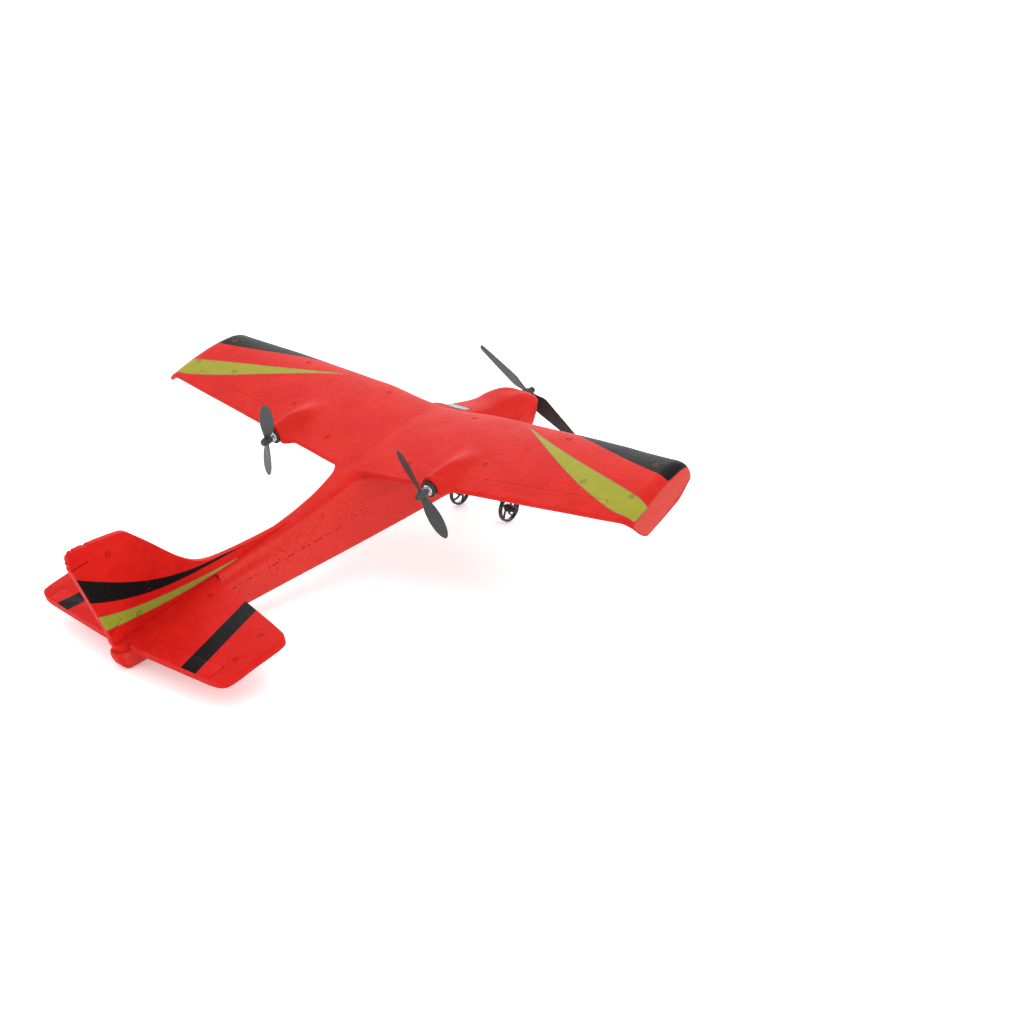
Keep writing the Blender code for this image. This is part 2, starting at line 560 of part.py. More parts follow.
# Belly equipment, in the belly's frame
inside = {"parent": belly}
cut(fuselage, box("bay", (-8.2, -18.6, -6), (8.2, 18.6, 14.0), None, cutter=True, **inside))
cut(fuselage, box("cover_recess", (-9.2, -20.4, -6), (9.2, 20.4, 1.95), None, cutter=True, **inside))
box("battery", (-7.6, -17.6, 2.2), (7.6, 17.6, 10.4), CELL, bevel=1.2, **inside)
board = box("control_board", (-7.4, -13.0, 12.2), (7.4, 13.0, 13.65), BOARD, **inside)
box("battery_cover", (-8.8, -20.0, 0.0), (8.8, 20.0, 1.6), BLACK_PLASTIC, bevel=0.3, **inside)
switch_body = box("switch_body", (-2.4, -32.0, 0.1), (2.4, -24.0, 4.2), BLACK_PLASTIC, **inside)
cut(fuselage, box("switch_recess", (-2.75, -32.35, -6), (2.75, -23.65, 4.55), None, cutter=True, **inside))
cut(switch_body, box("switch_slot", (-1.1, -30.6, -2), (1.1, -25.4, 2.5), None, cutter=True, **inside))
box("switch_slider", (-0.7, -30.1, -1.3), (0.7, -27.9, 2.1), WHITE_PLASTIC, bevel=0.2, **inside)

# Lead passage from the bay up to the wing, the fin's slot and the tailplane's seat
cut(fuselage, box("lead_passage", (-5.2, 43.5, -38), (5.2, 50.5, 0), None, cutter=True))
cut(fuselage, box("fin_slot", (-FIN_T / 2 - GAP, -96, -12.6), (FIN_T / 2 + GAP, -40.6, 5), None, cutter=True))
cut(fuselage, box("tailplane_seat", (-30, -170, STAB_TOP - STAB_T - GAP), (30, -90.9, 10), None, cutter=True))
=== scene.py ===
"""Looks of a small foam radio-control monoplane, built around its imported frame.

Shapes are laid out in the airframe's datum, in millimetres: X to the right wing, Y towards the nose, Z up, with the
pusher thrust lines along Y at Z = 0. world() takes them to the frame's metres.
"""

import math
import random

import bmesh
import bpy
import numpy as np
from mathutils import Matrix, Vector, noise

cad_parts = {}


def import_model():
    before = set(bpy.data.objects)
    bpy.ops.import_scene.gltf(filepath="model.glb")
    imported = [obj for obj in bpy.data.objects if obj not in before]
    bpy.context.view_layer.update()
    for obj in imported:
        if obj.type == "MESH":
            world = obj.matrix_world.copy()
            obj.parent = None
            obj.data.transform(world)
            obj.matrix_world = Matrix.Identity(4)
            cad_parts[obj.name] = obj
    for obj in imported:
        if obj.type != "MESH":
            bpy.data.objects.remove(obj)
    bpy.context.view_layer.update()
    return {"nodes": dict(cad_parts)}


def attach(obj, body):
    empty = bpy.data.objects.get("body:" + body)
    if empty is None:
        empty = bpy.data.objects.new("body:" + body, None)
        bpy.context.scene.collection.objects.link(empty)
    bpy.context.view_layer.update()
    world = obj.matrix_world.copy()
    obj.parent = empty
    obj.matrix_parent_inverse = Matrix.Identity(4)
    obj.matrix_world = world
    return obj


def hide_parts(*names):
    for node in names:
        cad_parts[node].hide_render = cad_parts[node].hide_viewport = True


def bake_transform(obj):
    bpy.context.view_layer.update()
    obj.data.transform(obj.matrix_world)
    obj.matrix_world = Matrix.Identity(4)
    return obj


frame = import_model()
nodes = frame["nodes"]
MM = 0.001
random.seed(7)

# Datum: the stance on wheels and tail
HALF_SPAN = 175.0
MOTOR_X = 57.9
WHEEL_X, WHEEL_Y, WHEEL_Z, WHEEL_R = 19.1, 95.6, -78.2, 8.2
TAIL_Y, TAIL_Z = -151.0, -23.4
BELLY_Z0, BELLY_SLOPE, BAY_Y = -42.6, -0.127, 62.0
CENTRE_Y = -0.004423
REACH, DROP = WHEEL_Y - TAIL_Y, TAIL_Z - WHEEL_Z
SIT = math.atan2(DROP, REACH) + math.asin(WHEEL_R / math.hypot(REACH, DROP))
LIFT = -(TAIL_Y * math.sin(SIT) + TAIL_Z * math.cos(SIT))
TURN = Matrix.Rotation(math.pi, 3, "Z") @ Matrix.Rotation(SIT, 3, "X")
D3 = np.array(TURN)
DT = np.array((0.0, CENTRE_Y, LIFT * MM))
FIN_T, STAB_T, STAB_TOP = 4.0, 4.2, -9.0
BELLY_ANGLE = math.atan(BELLY_SLOPE)


def world(points):
    return np.asarray(points, float) * MM @ D3.T + DT


def from_belly(points):
    """Points of the belly's own frame (Y along the belly, Z its inward normal) in the datum."""
    p = np.asarray(points, float)
    c, s = math.cos(BELLY_ANGLE), math.sin(BELLY_ANGLE)
    out = np.empty_like(p)
    out[:, 0] = p[:, 0]
    out[:, 1] = BAY_Y + p[:, 1] * c - p[:, 2] * s
    out[:, 2] = BELLY_Z0 + BELLY_SLOPE * BAY_Y + p[:, 1] * s + p[:, 2] * c
    return out


# ---------------------------------------------------------------- mesh tools


def smooth(t):
    t = np.clip(t, 0.0, 1.0)
    return t * t * (3 - 2 * t)


def pchip(xs, ys, at):
    """Monotone cubic through (xs, ys); ys may have several columns."""
    xs, ys, at = np.asarray(xs, float), np.asarray(ys, float), np.asarray(at, float)
    flat = ys.ndim == 1
    if flat:
        ys = ys[:, None]
    h = np.diff(xs)
    d = np.diff(ys, axis=0) / h[:, None]
    m = np.zeros_like(ys)
    for i in range(1, len(xs) - 1):
        a, b = d[i - 1], d[i]
        w1, w2 = 2 * h[i] + h[i - 1], h[i] + 2 * h[i - 1]
        same = a * b > 0
        safe_a, safe_b = np.where(same, a, 1), np.where(same, b, 1)
        m[i] = np.where(same, (w1 + w2) / (w1 / safe_a + w2 / safe_b), 0)
    m[0], m[-1] = d[0], d[-1]
    k = np.clip(np.searchsorted(xs, at, side="right") - 1, 0, len(xs) - 2)
    t = ((at - xs[k]) / h[k])[:, None]
    hk = h[k][:, None]
    out = (
        (1 + 2 * t) * (1 - t) ** 2 * ys[k]
        + t * (1 - t) ** 2 * hk * m[k]
        + t * t * (3 - 2 * t) * ys[k + 1]
        + t * t * (t - 1) * hk * m[k + 1]
    )
    return out[:, 0] if flat else out


def rounded(points, steps, closed=True):
    """Centripetal Catmull-Rom curve through points."""
    p = np.asarray(points, float)
    n = len(p)
    out = []
    for i in range(n if closed else n - 1):
        if closed:
            q = [p[(i + k) % n] for k in (-1, 0, 1, 2)]
        else:
            q = [p[min(max(i + k, 0), n - 1)] for k in (-1, 0, 1, 2)]
            if i == 0:
                q[0] = 2 * q[1] - q[2]
            if i == n - 2:
                q[3] = 2 * q[2] - q[1]
        t = [0.0]
        for a, b in zip(q, q[1:]):
            t.append(t[-1] + max(np.linalg.norm(b - a), 1e-6) ** 0.5)
        for s in np.linspace(t[1], t[2], steps, endpoint=False):
            a1 = (t[1] - s) / (t[1] - t[0]) * q[0] + (s - t[0]) / (t[1] - t[0]) * q[1]
            a2 = (t[2] - s) / (t[2] - t[1]) * q[1] + (s - t[1]) / (t[2] - t[1]) * q[2]
            a3 = (t[3] - s) / (t[3] - t[2]) * q[2] + (s - t[2]) / (t[3] - t[2]) * q[3]
            b1 = (t[2] - s) / (t[2] - t[0]) * a1 + (s - t[0]) / (t[2] - t[0]) * a2
            b2 = (t[3] - s) / (t[3] - t[1]) * a2 + (s - t[1]) / (t[3] - t[1]) * a3
            out.append((t[2] - s) / (t[2] - t[1]) * b1 + (s - t[1]) / (t[2] - t[1]) * b2)
    if not closed:
        out.append(p[-1])
    return np.array(out)


def finish_mesh(mesh, sharp):
    bm = bmesh.new()
    bm.from_mesh(mesh)
    bmesh.ops.recalc_face_normals(bm, faces=bm.faces)
    bm.to_mesh(mesh)
    bm.free()
    mesh.shade_smooth()
    mesh.set_sharp_from_angle(angle=math.radians(sharp))
    return mesh


def solid(name, verts, faces, sharp=38.0):
    mesh = bpy.data.meshes.new(name)
    mesh.from_pydata(world(verts).tolist(), [], faces)
    finish_mesh(mesh, sharp)
    obj = bpy.data.objects.new(name, mesh)
    bpy.context.scene.collection.objects.link(obj)
    return obj


def skin(rings, start=0, closed_ends=True):
    """Faces between closed rings of equal length."""
    faces, n = [], len(rings[0])
    for r in range(len(rings) - 1):
        a, b = start + r * n, start + (r + 1) * n
        for i in range(n):
            j = (i + 1) % n
            faces.append((a + i, a + j, b + j, b + i))
    if closed_ends:
        faces.append(tuple(range(start + n - 1, start - 1, -1)))
        last = start + (len(rings) - 1) * n
        faces.append(tuple(range(last, last + n)))
    return faces


def loft(name, rings, sharp=38.0):
    return solid(name, np.concatenate(rings), skin(rings), sharp)


def slab(name, outline, low, high, radius, across, steps=5, shift=None, sharp=40.0):
    """A plate with rounded edges. across X the outline is (y, z), across Z it is (x, y). shift moves whole edges."""
    p = np.asarray(outline, float)
    shift = np.zeros_like(p) if shift is None else np.asarray(shift, float)
    area = 0.5 * np.sum(p[:, 0] * np.roll(p[:, 1], -1) - np.roll(p[:, 0], -1) * p[:, 1])
    if area < 0:
        p, shift = p[::-1], shift[::-1]
    before, after = p - np.roll(p, 1, axis=0), np.roll(p, -1, axis=0) - p
    before /= np.linalg.norm(before, axis=1)[:, None]
    after /= np.linalg.norm(after, axis=1)[:, None]
    n1 = np.stack([-before[:, 1], before[:, 0]], 1)
    n2 = np.stack([-after[:, 1], after[:, 0]], 1)
    inward = n1 + n2
    inward /= np.maximum((inward * n1).sum(1), 0.45)[:, None]  # mitre, so that corners keep the radius
    rings = []
    middle, half = (low + high) / 2, (high - low) / 2
    for side in (-1, 1):
        turns = np.linspace(0, math.pi / 2, steps)
        for a in turns if side < 0 else turns[::-1]:
            inset = radius * (1 - math.sin(a))
            height = side * (half - radius + radius * math.cos(a))
            rings.append((p + inward * inset + shift, middle + height))
    if radius >= half - 1e-6:
        rings.pop(steps)
    stack = []
    for flat, h in rings:
        if across == "X":
            stack.append(np.column_stack([np.full(len(flat), h), flat]))
        else:
            stack.append(np.column_stack([flat, np.full(len(flat), h)]))
    return loft(name, stack, sharp)


def turned_rings(profile, axis, centre, count=48):
    """Rings of (radius, height) points about an axis through centre."""
    out = []
    for r, h in profile:
        a = np.linspace(0, 2 * math.pi, count, endpoint=False)
        u, v, w = r * np.cos(a), r * np.sin(a), np.full(count, h)
        cols = {"X": (w, u, v), "Y": (v, w, u), "Z": (u, v, w)}[axis]
        out.append(np.stack(cols, 1) + np.asarray(centre, float))
    return out


def turned(name, profile, axis, centre, count=48, ring=False, sharp=38.0):
    """A turned solid: an open profile is capped at both ends, a ring's profile closes on itself."""
    rings = turned_rings(profile, axis, centre, count)
    if not ring:
        return loft(name, rings, sharp)
    return solid(name, np.concatenate(rings), ring_faces(rings), sharp)


def ring_faces(rings):
    n, m, faces = len(rings[0]), len(rings), []
    for r in range(m):
        a, b = r * n, ((r + 1) % m) * n
        for i in range(n):
            j = (i + 1) % n
            faces.append((a + i, a + j, b + j, b + i))
    return faces


def fillet(profile, radius, steps=4, closed=False):
    """Rounds a profile's corners."""
    p = [np.asarray(q, float) for q in profile]
    n, out = len(p), []
    for i, q in enumerate(p):
        if not closed and i in (0, n - 1):
            out.append(tuple(q))
            continue
        a, b = p[i - 1] - q, p[(i + 1) % n] - q
        la, lb = np.linalg.norm(a), np.linalg.norm(b)
        cut = min(radius, la * 0.45, lb * 0.45)
        s, e = q + a / la * cut, q + b / lb * cut
        for t in np.linspace(0, 1, steps):
            out.append(tuple((1 - t) ** 2 * s + 2 * t * (1 - t) * q + t * t * e))
    return out


def tube(name, points, radius, count=14):
    p = np.asarray(points, float)
    tangent = np.gradient(p, axis=0)
    tangent /= np.linalg.norm(tangent, axis=1)[:, None]
    ref = np.array((0.0, 1.0, 0.0)) if abs(tangent[0][1]) < 0.9 else np.array((1.0, 0.0, 0.0))
    rings = []
    for q, t in zip(p, tangent):
        u = ref - t * np.dot(ref, t)
        u /= np.linalg.norm(u)
        v = np.cross(t, u)
        ref = u
        a = np.linspace(0, 2 * math.pi, count, endpoint=False)[:, None]
        rings.append(q + radius * (np.cos(a) * u + np.sin(a) * v))
    return loft(name, rings, 50)


def block(name, low, high, bevel=0.0, belly=False, segments=3):
    low, high = np.asarray(low, float), np.asarray(high, float)
    bm = bmesh.new()
    bmesh.ops.create_cube(bm, size=1.0)
    for v in bm.verts:
        v.co = Vector((low + high) / 2 + np.array(v.co) * (high - low))
    if bevel:
        bmesh.ops.bevel(bm, geom=list(bm.edges), offset=bevel, segments=segments, profile=0.5, affect="EDGES")
    co = np.array([v.co[:] for v in bm.verts])
    faces = [tuple(v.index for v in f.verts) for f in bm.faces]
    bm.free()
    return solid(name, from_belly(co) if belly else co, faces, 30)


def combine(target, tools, operation="DIFFERENCE", sharp=38.0):
    """Cuts tools out of target, or joins them to it, and keeps the result as target's mesh."""
    for tool in tools:
        modifier = target.modifiers.new(tool.name, "BOOLEAN")
        modifier.operation, modifier.solver, modifier.object = operation, "EXACT", tool
    bpy.context.view_layer.update()
    made = bpy.data.meshes.new_from_object(target.evaluated_get(bpy.context.evaluated_depsgraph_get()))
    target.modifiers.clear()
    target.data = made
    for tool in tools:
        bpy.data.objects.remove(tool, do_unlink=True)
    made.materials.clear()
    made.shade_smooth()
    made.set_sharp_from_angle(angle=math.radians(sharp))
    return target


def dress(obj, mat, body, slot, *replaced):
    obj.data.materials.clear()
    obj.data.materials.append(mat)
    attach(obj, body)
    if replaced:
        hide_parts(*replaced)
    return obj


# ---------------------------------------------------------------- materials


class Graph:
    """A material's node tree, with short calls for the nodes it needs."""

    def __init__(self, name):
        self.mat = bpy.data.materials.new(name)
        self.mat.use_nodes = True
        self.tree = self.mat.node_tree
        self.shader = self.tree.nodes["Principled BSDF"]
        self._axes = None

    def add(self, kind, **props):
        node = self.tree.nodes.new(kind)
        for key, value in props.items():
            setattr(node, key, value)
        return node

    def put(self, socket, value):
        if isinstance(value, bpy.types.NodeSocket):
            self.tree.links.new(value, socket)
        else:
            socket.default_value = value

    def set(self, name, value):
        self.put(self.shader.inputs[name], value)

    def math(self, op, a, b=0.0, c=None, clamp=False):
        node = self.add("ShaderNodeMath", operation=op, use_clamp=clamp)
        self.put(node.inputs[0], a)
        self.put(node.inputs[1], b)
        if c is not None:
            self.put(node.inputs[2], c)
        return node.outputs[0]

    def ramp(self, value, low, high, out_low=0.0, out_high=1.0):
        node = self.add("ShaderNodeMapRange", interpolation_type="SMOOTHSTEP", clamp=True)
        for i, v in enumerate((value, low, high, out_low, out_high)):
            self.put(node.inputs[i], v)
        return node.outputs[0]

    def mix(self, factor, a, b):
        node = self.add("ShaderNodeMix", data_type="RGBA", blend_type="MIX")
        self.put(node.inputs[0], factor)
        self.put(node.inputs[6], a if isinstance(a, bpy.types.NodeSocket) else (*a, 1.0))
        self.put(node.inputs[7], b if isinstance(b, bpy.types.NodeSocket) else (*b, 1.0))
        return node.outputs[2]

    def datum(self):
        """The point in the airframe's datum, in millimetres."""
        if self._axes is None:
            place = self.add("ShaderNodeTexCoord")
            mapping = self.add("ShaderNodeMapping", vector_type="POINT")
            mapping.inputs["Rotation"].default_value = (SIT, 0.0, math.pi)
            mapping.inputs["Scale"].default_value = (1000.0, 1000.0, 1000.0)
            back = -(D3.T @ DT) * 1000.0
            mapping.inputs["Location"].default_value = tuple(back)
            self.put(mapping.inputs["Vector"], place.outputs["Object"])
            turn = self.add("ShaderNodeMapping", vector_type="VECTOR")
            turn.inputs["Rotation"].default_value = (SIT, 0.0, math.pi)
            self.put(turn.inputs["Vector"], place.outputs["Normal"])
            cut, cut_n = self.add("ShaderNodeSeparateXYZ"), self.add("ShaderNodeSeparateXYZ")
            self.put(cut.inputs[0], mapping.outputs[0])
            self.put(cut_n.inputs[0], turn.outputs[0])
            self._axes = (mapping.outputs[0], tuple(cut.outputs), tuple(cut_n.outputs))
        return self._axes

    def noise(self, vector, scale, detail=2.0, roughness=0.5, distortion=0.0):
        node = self.add("ShaderNodeTexNoise")
        self.put(node.inputs["Vector"], vector)
        for key, value in (("Scale", scale), ("Detail", detail), ("Roughness", roughness), ("Distortion", distortion)):
            node.inputs[key].default_value = value
        return node.outputs[0]

    def cells(self, vector, scale, feature="F1", randomness=1.0):
        node = self.add("ShaderNodeTexVoronoi", feature=feature)
        self.put(node.inputs["Vector"], vector)
        node.inputs["Scale"].default_value = scale
        node.inputs["Randomness"].default_value = randomness
        return node

    def stretch(self, vector, scale):
        node = self.add("ShaderNodeMapping", vector_type="POINT")
        node.inputs["Scale"].default_value = scale
        self.put(node.inputs["Vector"], vector)
        return node.outputs[0]

    def poly(self, points, degree, x):
        """A curve through measured points, as a polynomial of x."""
        px, py = np.array(points, float).T
        middle, span = (px.max() + px.min()) / 2, (px.max() - px.min()) / 2
        factors = np.polyfit((px - middle) / span, py, degree)
        t = self.math("DIVIDE", self.math("SUBTRACT", x, float(middle)), float(span))
        value = float(factors[0])
        for factor in factors[1:]:
            value = self.math("MULTIPLY_ADD", value, t, float(factor))
        return value

    def least(self, *values, blend=0.0):
        out = values[0]
        for v in values[1:]:
            out = self.math("SMOOTH_MIN", out, v, blend) if blend else self.math("MINIMUM", out, v)
        return out

    def bump(self, height, strength, distance, under=None):
        node = self.add("ShaderNodeBump")
        node.inputs["Strength"].default_value = strength
        node.inputs["Distance"].default_value = distance
        self.put(node.inputs["Height"], height)
        if under is not None:
            self.put(node.inputs["Normal"], under)
        return node.outputs[0]


REDS = (0.470, 0.0105, 0.0075), (0.525, 0.0160, 0.0110), (0.570, 0.055, 0.043)
REDS_TAIL = (0.465, 0.0050, 0.0032), (0.520, 0.0085, 0.0048), (0.560, 0.040, 0.030)
BLACK = (0.0030, 0.0030, 0.0030)
YELLOW, YELLOW_WARM = (0.253, 0.250, 0.0216), (0.280, 0.265, 0.026)
YELLOW_FIN, YELLOW_FIN_WARM = (0.212, 0.250, 0.0216), (0.236, 0.265, 0.026)
EDGE_GREY = (0.11, 0.13, 0.10)


def wing_stripes(g, x, y, z, nz, ragged):
    """Distances, in millimetres, to the inside of the yellow and the black stripe on the wing's top."""
    ax = g.math("ABSOLUTE", x)
    upper = g.poly([(62, 76.5), (74.5, 69.8), (108.6, 56.2), (138.1, 46.4), (158, 41.2), (169, 37.6)], 3, ax)
    lower = g.poly([(62, 76.5), (83.5, 62.6), (109.6, 46.9), (129.7, 37.0), (147.1, 29.9), (160, 26.2)], 3, ax)
    end = g.math("SUBTRACT", 169.4, ax)
    yellow = g.least(
        g.math("SUBTRACT", upper, y), g.math("SUBTRACT", y, lower), end, g.math("SUBTRACT", y, 26.3), blend=1.6
    )
    yellow = g.least(yellow, g.math("SUBTRACT", ax, 61.0))
    edge = g.poly([(88, 80.2), (104.5, 73.8), (126, 67.5), (149.4, 60.5), (163, 56.8), (169, 57.2)], 3, ax)
    tail = g.math("SUBTRACT", g.math("MULTIPLY_ADD", y, -0.075, 171.6), ax)
    black = g.least(g.math("SUBTRACT", y, edge), tail, blend=2.4)
    black = g.least(black, g.math("SUBTRACT", ax, 79.0), g.math("MULTIPLY_ADD", nz, 6.0, 1.5))
    top = g.math("MULTIPLY_ADD", nz, 6.0, -0.6)
    return g.math("ADD", g.least(yellow, top), ragged), g.math("ADD", black, ragged)


def fin_stripes(g, x, y, z, nx, ragged):
    side = g.math("MULTIPLY_ADD", g.math("ABSOLUTE", nx), 6.0, -1.5)
    upper = g.poly([(-162, 35.0), (-151.1, 26.6), (-140, 18.8), (-128.2, 11.9), (-108.4, 3.7), (-92.8, -0.2), (-63.5, -5.2)], 4, y)
    lower = g.poly([(-162, 21.2), (-157.7, 18.6), (-143.3, 10.8), (-122.7, 3.2), (-98.7, -0.9), (-82.2, -3.2), (-63.5, -5.6)], 4, y)
    black = g.least(g.math("SUBTRACT", upper, z), g.math("SUBTRACT", z, lower), side)
    black = g.least(black, g.math("SUBTRACT", -64.0, y))
    upper = g.poly([(-160, 11.4), (-156.4, 9.8), (-143.6, 4.5), (-127, 0.3), (-107.7, -3.7), (-88.1, -6.6), (-77.1, -8.1)], 4, y)
    lower = g.poly([(-160, 1.6), (-154.8, 0.6), (-141.8, -2.1), (-121.6, -5.4), (-102.2, -7.4), (-86.8, -8.3), (-77.1, -8.8)], 4, y)
    yellow = g.least(g.math("SUBTRACT", upper, z), g.math("SUBTRACT", z, lower), side)
    yellow = g.least(yellow, g.math("SUBTRACT", -77.0, y))
    return g.math("ADD", yellow, ragged), g.math("ADD", black, ragged)


def tail_band(g, x, y, z, nz, ragged):
    ax = g.math("ABSOLUTE", x)
    middle = g.math("MULTIPLY_ADD", y, -0.224, 15.1)
    off = g.math("ABSOLUTE", g.math("SUBTRACT", ax, middle))
    band = g.least(g.math("SUBTRACT", 4.9, off), g.math("MULTIPLY_ADD", nz, 6.0, -1.2))
    return None, g.math("ADD", band, ragged)


def foam(name, stripes=None, screen=False, sides=False, yellows=(YELLOW, YELLOW_WARM), reds=REDS):
    """Moulded bead foam: a skin of pressed beads, fine pores, and printed stripes that let some foam show through."""
    g = Graph(name)
    p, (x, y, z), (nx, ny, nz) = g.datum()
    beads = g.cells(p, 0.34)
    bead_tone = g.add("ShaderNodeSeparateXYZ")
    g.put(bead_tone.inputs[0], beads.outputs["Color"])
    cloud = g.noise(p, 0.045, 3.0, 0.55)
    grain = g.noise(p, 0.95, 3.0, 0.62)
    fine = g.noise(p, 2.6, 2.0, 0.5)
    pores = g.cells(p, 0.16)
    pore_pick = g.add("ShaderNodeSeparateXYZ")
    g.put(pore_pick.inputs[0], pores.outputs["Color"])
    pore = g.math(
        "MULTIPLY",
        g.ramp(pores.outputs["Distance"], 0.030, 0.062, 1.0, 0.0),
        g.ramp(pore_pick.outputs[0], 0.50, 0.56),
    )

    deep, red, pale = reds
    colour = g.mix(g.ramp(cloud, 0.30, 0.70), deep, red)
    colour = g.mix(g.math("MULTIPLY", g.ramp(bead_tone.outputs[1], 0.25, 1.0), 0.09), colour, pale)
    colour = g.mix(g.math("MULTIPLY", g.ramp(grain, 0.52, 0.80), 0.22), colour, pale)
    colour = g.mix(g.math("MULTIPLY", g.ramp(grain, 0.42, 0.24), 0.28), colour, deep)
    if stripes is wing_stripes:
        # the turned-down edge of the tips is paler: partly rubbed bare foam, partly a painted sheen where the facet
        # catches the light
        outer = g.math("SUBTRACT", g.math("ABSOLUTE", x), g.math("MULTIPLY_ADD", y, -0.075, 171.6))
        rim = g.math("MULTIPLY", g.ramp(outer, -0.4, 0.8), g.ramp(nz, 0.0, 0.3))
        colour = g.mix(g.math("MULTIPLY", rim, g.ramp(grain, 0.30, 0.70, 0.55, 0.9)), colour, (0.500, 0.075, 0.060))
    if sides:
        # the slab sides are left as they come from the mould, rougher and paler, and the side faces also carry painted
        # light lifting their tone
        flank = g.math("MULTIPLY", g.ramp(g.math("ABSOLUTE", nx), 0.72, 0.93), g.ramp(y, 84.0, 70.0))
        flank_pale_and_lit = g.math("MULTIPLY", flank, g.ramp(g.noise(p, 0.5, 4.0, 0.7), 0.30, 0.72, 0.25, 0.62))
        colour = g.mix(flank_pale_and_lit, colour, pale)
    roughness = g.math("MULTIPLY_ADD", grain, 0.24, 0.42)

    paint = None
    if stripes is not None:
        ragged = g.math("MULTIPLY_ADD", g.noise(p, 1.3, 2.0, 0.6), 0.5, -0.25)
        yellow, black = stripes(g, x, y, z, nx if stripes is fin_stripes else nz, ragged)
        specks = g.cells(p, 0.30)
        speck_pick = g.add("ShaderNodeSeparateXYZ")
        g.put(speck_pick.inputs[0], specks.outputs["Color"])
        speck = g.math(
            "MULTIPLY", g.ramp(specks.outputs["Distance"], 0.05, 0.10, 1.0, 0.0), g.ramp(speck_pick.outputs[1], 0.66, 0.72)
        )
        whole = g.math("SUBTRACT", 1.0, speck)
        black_mask = g.math("MULTIPLY", g.ramp(black, -0.12, 0.12), whole)
        black_tone = g.mix(g.ramp(grain, 0.35, 0.75), BLACK, (0.0065, 0.0062, 0.0070))
        colour = g.mix(black_mask, colour, black_tone)
        paint = black_mask
        if yellow is not None:
            outline = g.math("MULTIPLY", g.ramp(yellow, -0.12, 0.10), 1.0)
            colour = g.mix(outline, colour, EDGE_GREY)
            tone = g.mix(g.ramp(g.noise(p, 0.22, 3.0, 0.6), 0.32, 0.68), *yellows)
            tone = g.mix(g.math("MULTIPLY", speck, 0.75), tone, (0.07, 0.11, 0.05))
            colour = g.mix(g.ramp(yellow, 0.16, 0.42), colour, tone)
            paint = g.math("MAXIMUM", black_mask, outline)
        roughness = g.math("MULTIPLY_ADD", paint, -0.07, roughness)
    if screen:
        # a printed windscreen on the slope ahead of the wing
        ax = g.math("ABSOLUTE", x)
        pane = g.least(
            g.math("SUBTRACT", g.math("MULTIPLY_ADD", y, -0.055, 12.6), ax),
            g.math("SUBTRACT", y, 80.0),
            g.math("SUBTRACT", 93.0, y),
            g.math("MULTIPLY_ADD", nz, 8.0, -2.0),
            blend=1.2,
        )
        colour = g.mix(g.ramp(pane, -0.1, 0.1), colour, (0.015, 0.019, 0.034))
        tone = g.mix(g.ramp(g.noise(p, 0.12, 2.0, 0.5), 0.3, 0.7), (0.30, 0.32, 0.345), (0.38, 0.40, 0.425))
        colour = g.mix(g.ramp(pane, 0.85, 1.05), colour, tone)
    # the pores are darkened: painted shade inside the open cells
    colour = g.mix(g.math("MULTIPLY", pore, 0.80), colour, (0.12, 0.006, 0.006))

    g.set("Base Color", colour)
    g.set("Roughness", roughness)
    g.set("Specular IOR Level", 0.06)
    g.set("Sheen Weight", 0.05)
    g.set("Sheen Roughness", 0.28)
    g.set("Subsurface Weight", 0.0)
    dome = g.ramp(beads.outputs["Distance"], 0.0, 0.75, 1.0, 0.0)
    height = g.math("MULTIPLY_ADD", dome, 0.55, g.math("MULTIPLY_ADD", grain, 0.9, g.math("MULTIPLY", fine, 0.30)))
    height = g.math("MULTIPLY_ADD", pore, -0.9, height)
    g.set("Normal", g.bump(height, 0.55, 0.00028))
    return g.mat


def plastic(name, colour, roughness, streak=0.0, specular=0.5, light=1.5):
    """Moulded plastic: a fine spark-eroded skin, faint flow marks and a little rubbed shine."""
    g = Graph(name)
    p, _, _ = g.datum()
    skin_noise = g.noise(p, 4.5, 3.0, 0.65)
    cloud = g.noise(p, 0.35, 3.0, 0.6)
    flow = g.noise(g.stretch(p, (0.5, 0.5, 2.4)), 0.7, 2.0, 0.5, 0.6)
    pale = tuple(c * light + 0.004 for c in colour)
    tone = g.mix(g.math("MULTIPLY", g.ramp(cloud, 0.30, 0.75), 0.6), colour, pale)
    if streak:
        tone = g.mix(g.math("MULTIPLY", g.ramp(flow, 0.45, 0.75), streak), tone, pale)
    g.set("Base Color", tone)
    g.set("Roughness", g.math("MULTIPLY_ADD", cloud, 0.18, roughness - 0.08))
    g.set("Specular IOR Level", specular)
    g.set("Normal", g.bump(skin_noise, 0.12, 0.00006))
    return g.mat


def metal(name, colour, roughness, lathe=None):
    """Bare metal with fine drawn or turned lines and slight staining."""
    g = Graph(name)
    p, (x, y, z), _ = g.datum()
    lines = g.noise(g.stretch(p, (9.0, 0.25, 9.0) if lathe is None else lathe), 1.0, 3.0, 0.6)
    stain = g.noise(p, 0.4, 3.0, 0.6)
    tone = g.mix(g.ramp(stain, 0.35, 0.75), tuple(c * 0.78 for c in colour), colour)
    g.set("Base Color", tone)
    g.set("Metallic", 1.0)
    g.set("Roughness", g.math("MULTIPLY_ADD", lines, 0.22, roughness - 0.06))
    g.set("Normal", g.bump(lines, 0.10, 0.00005))
    return g.mat


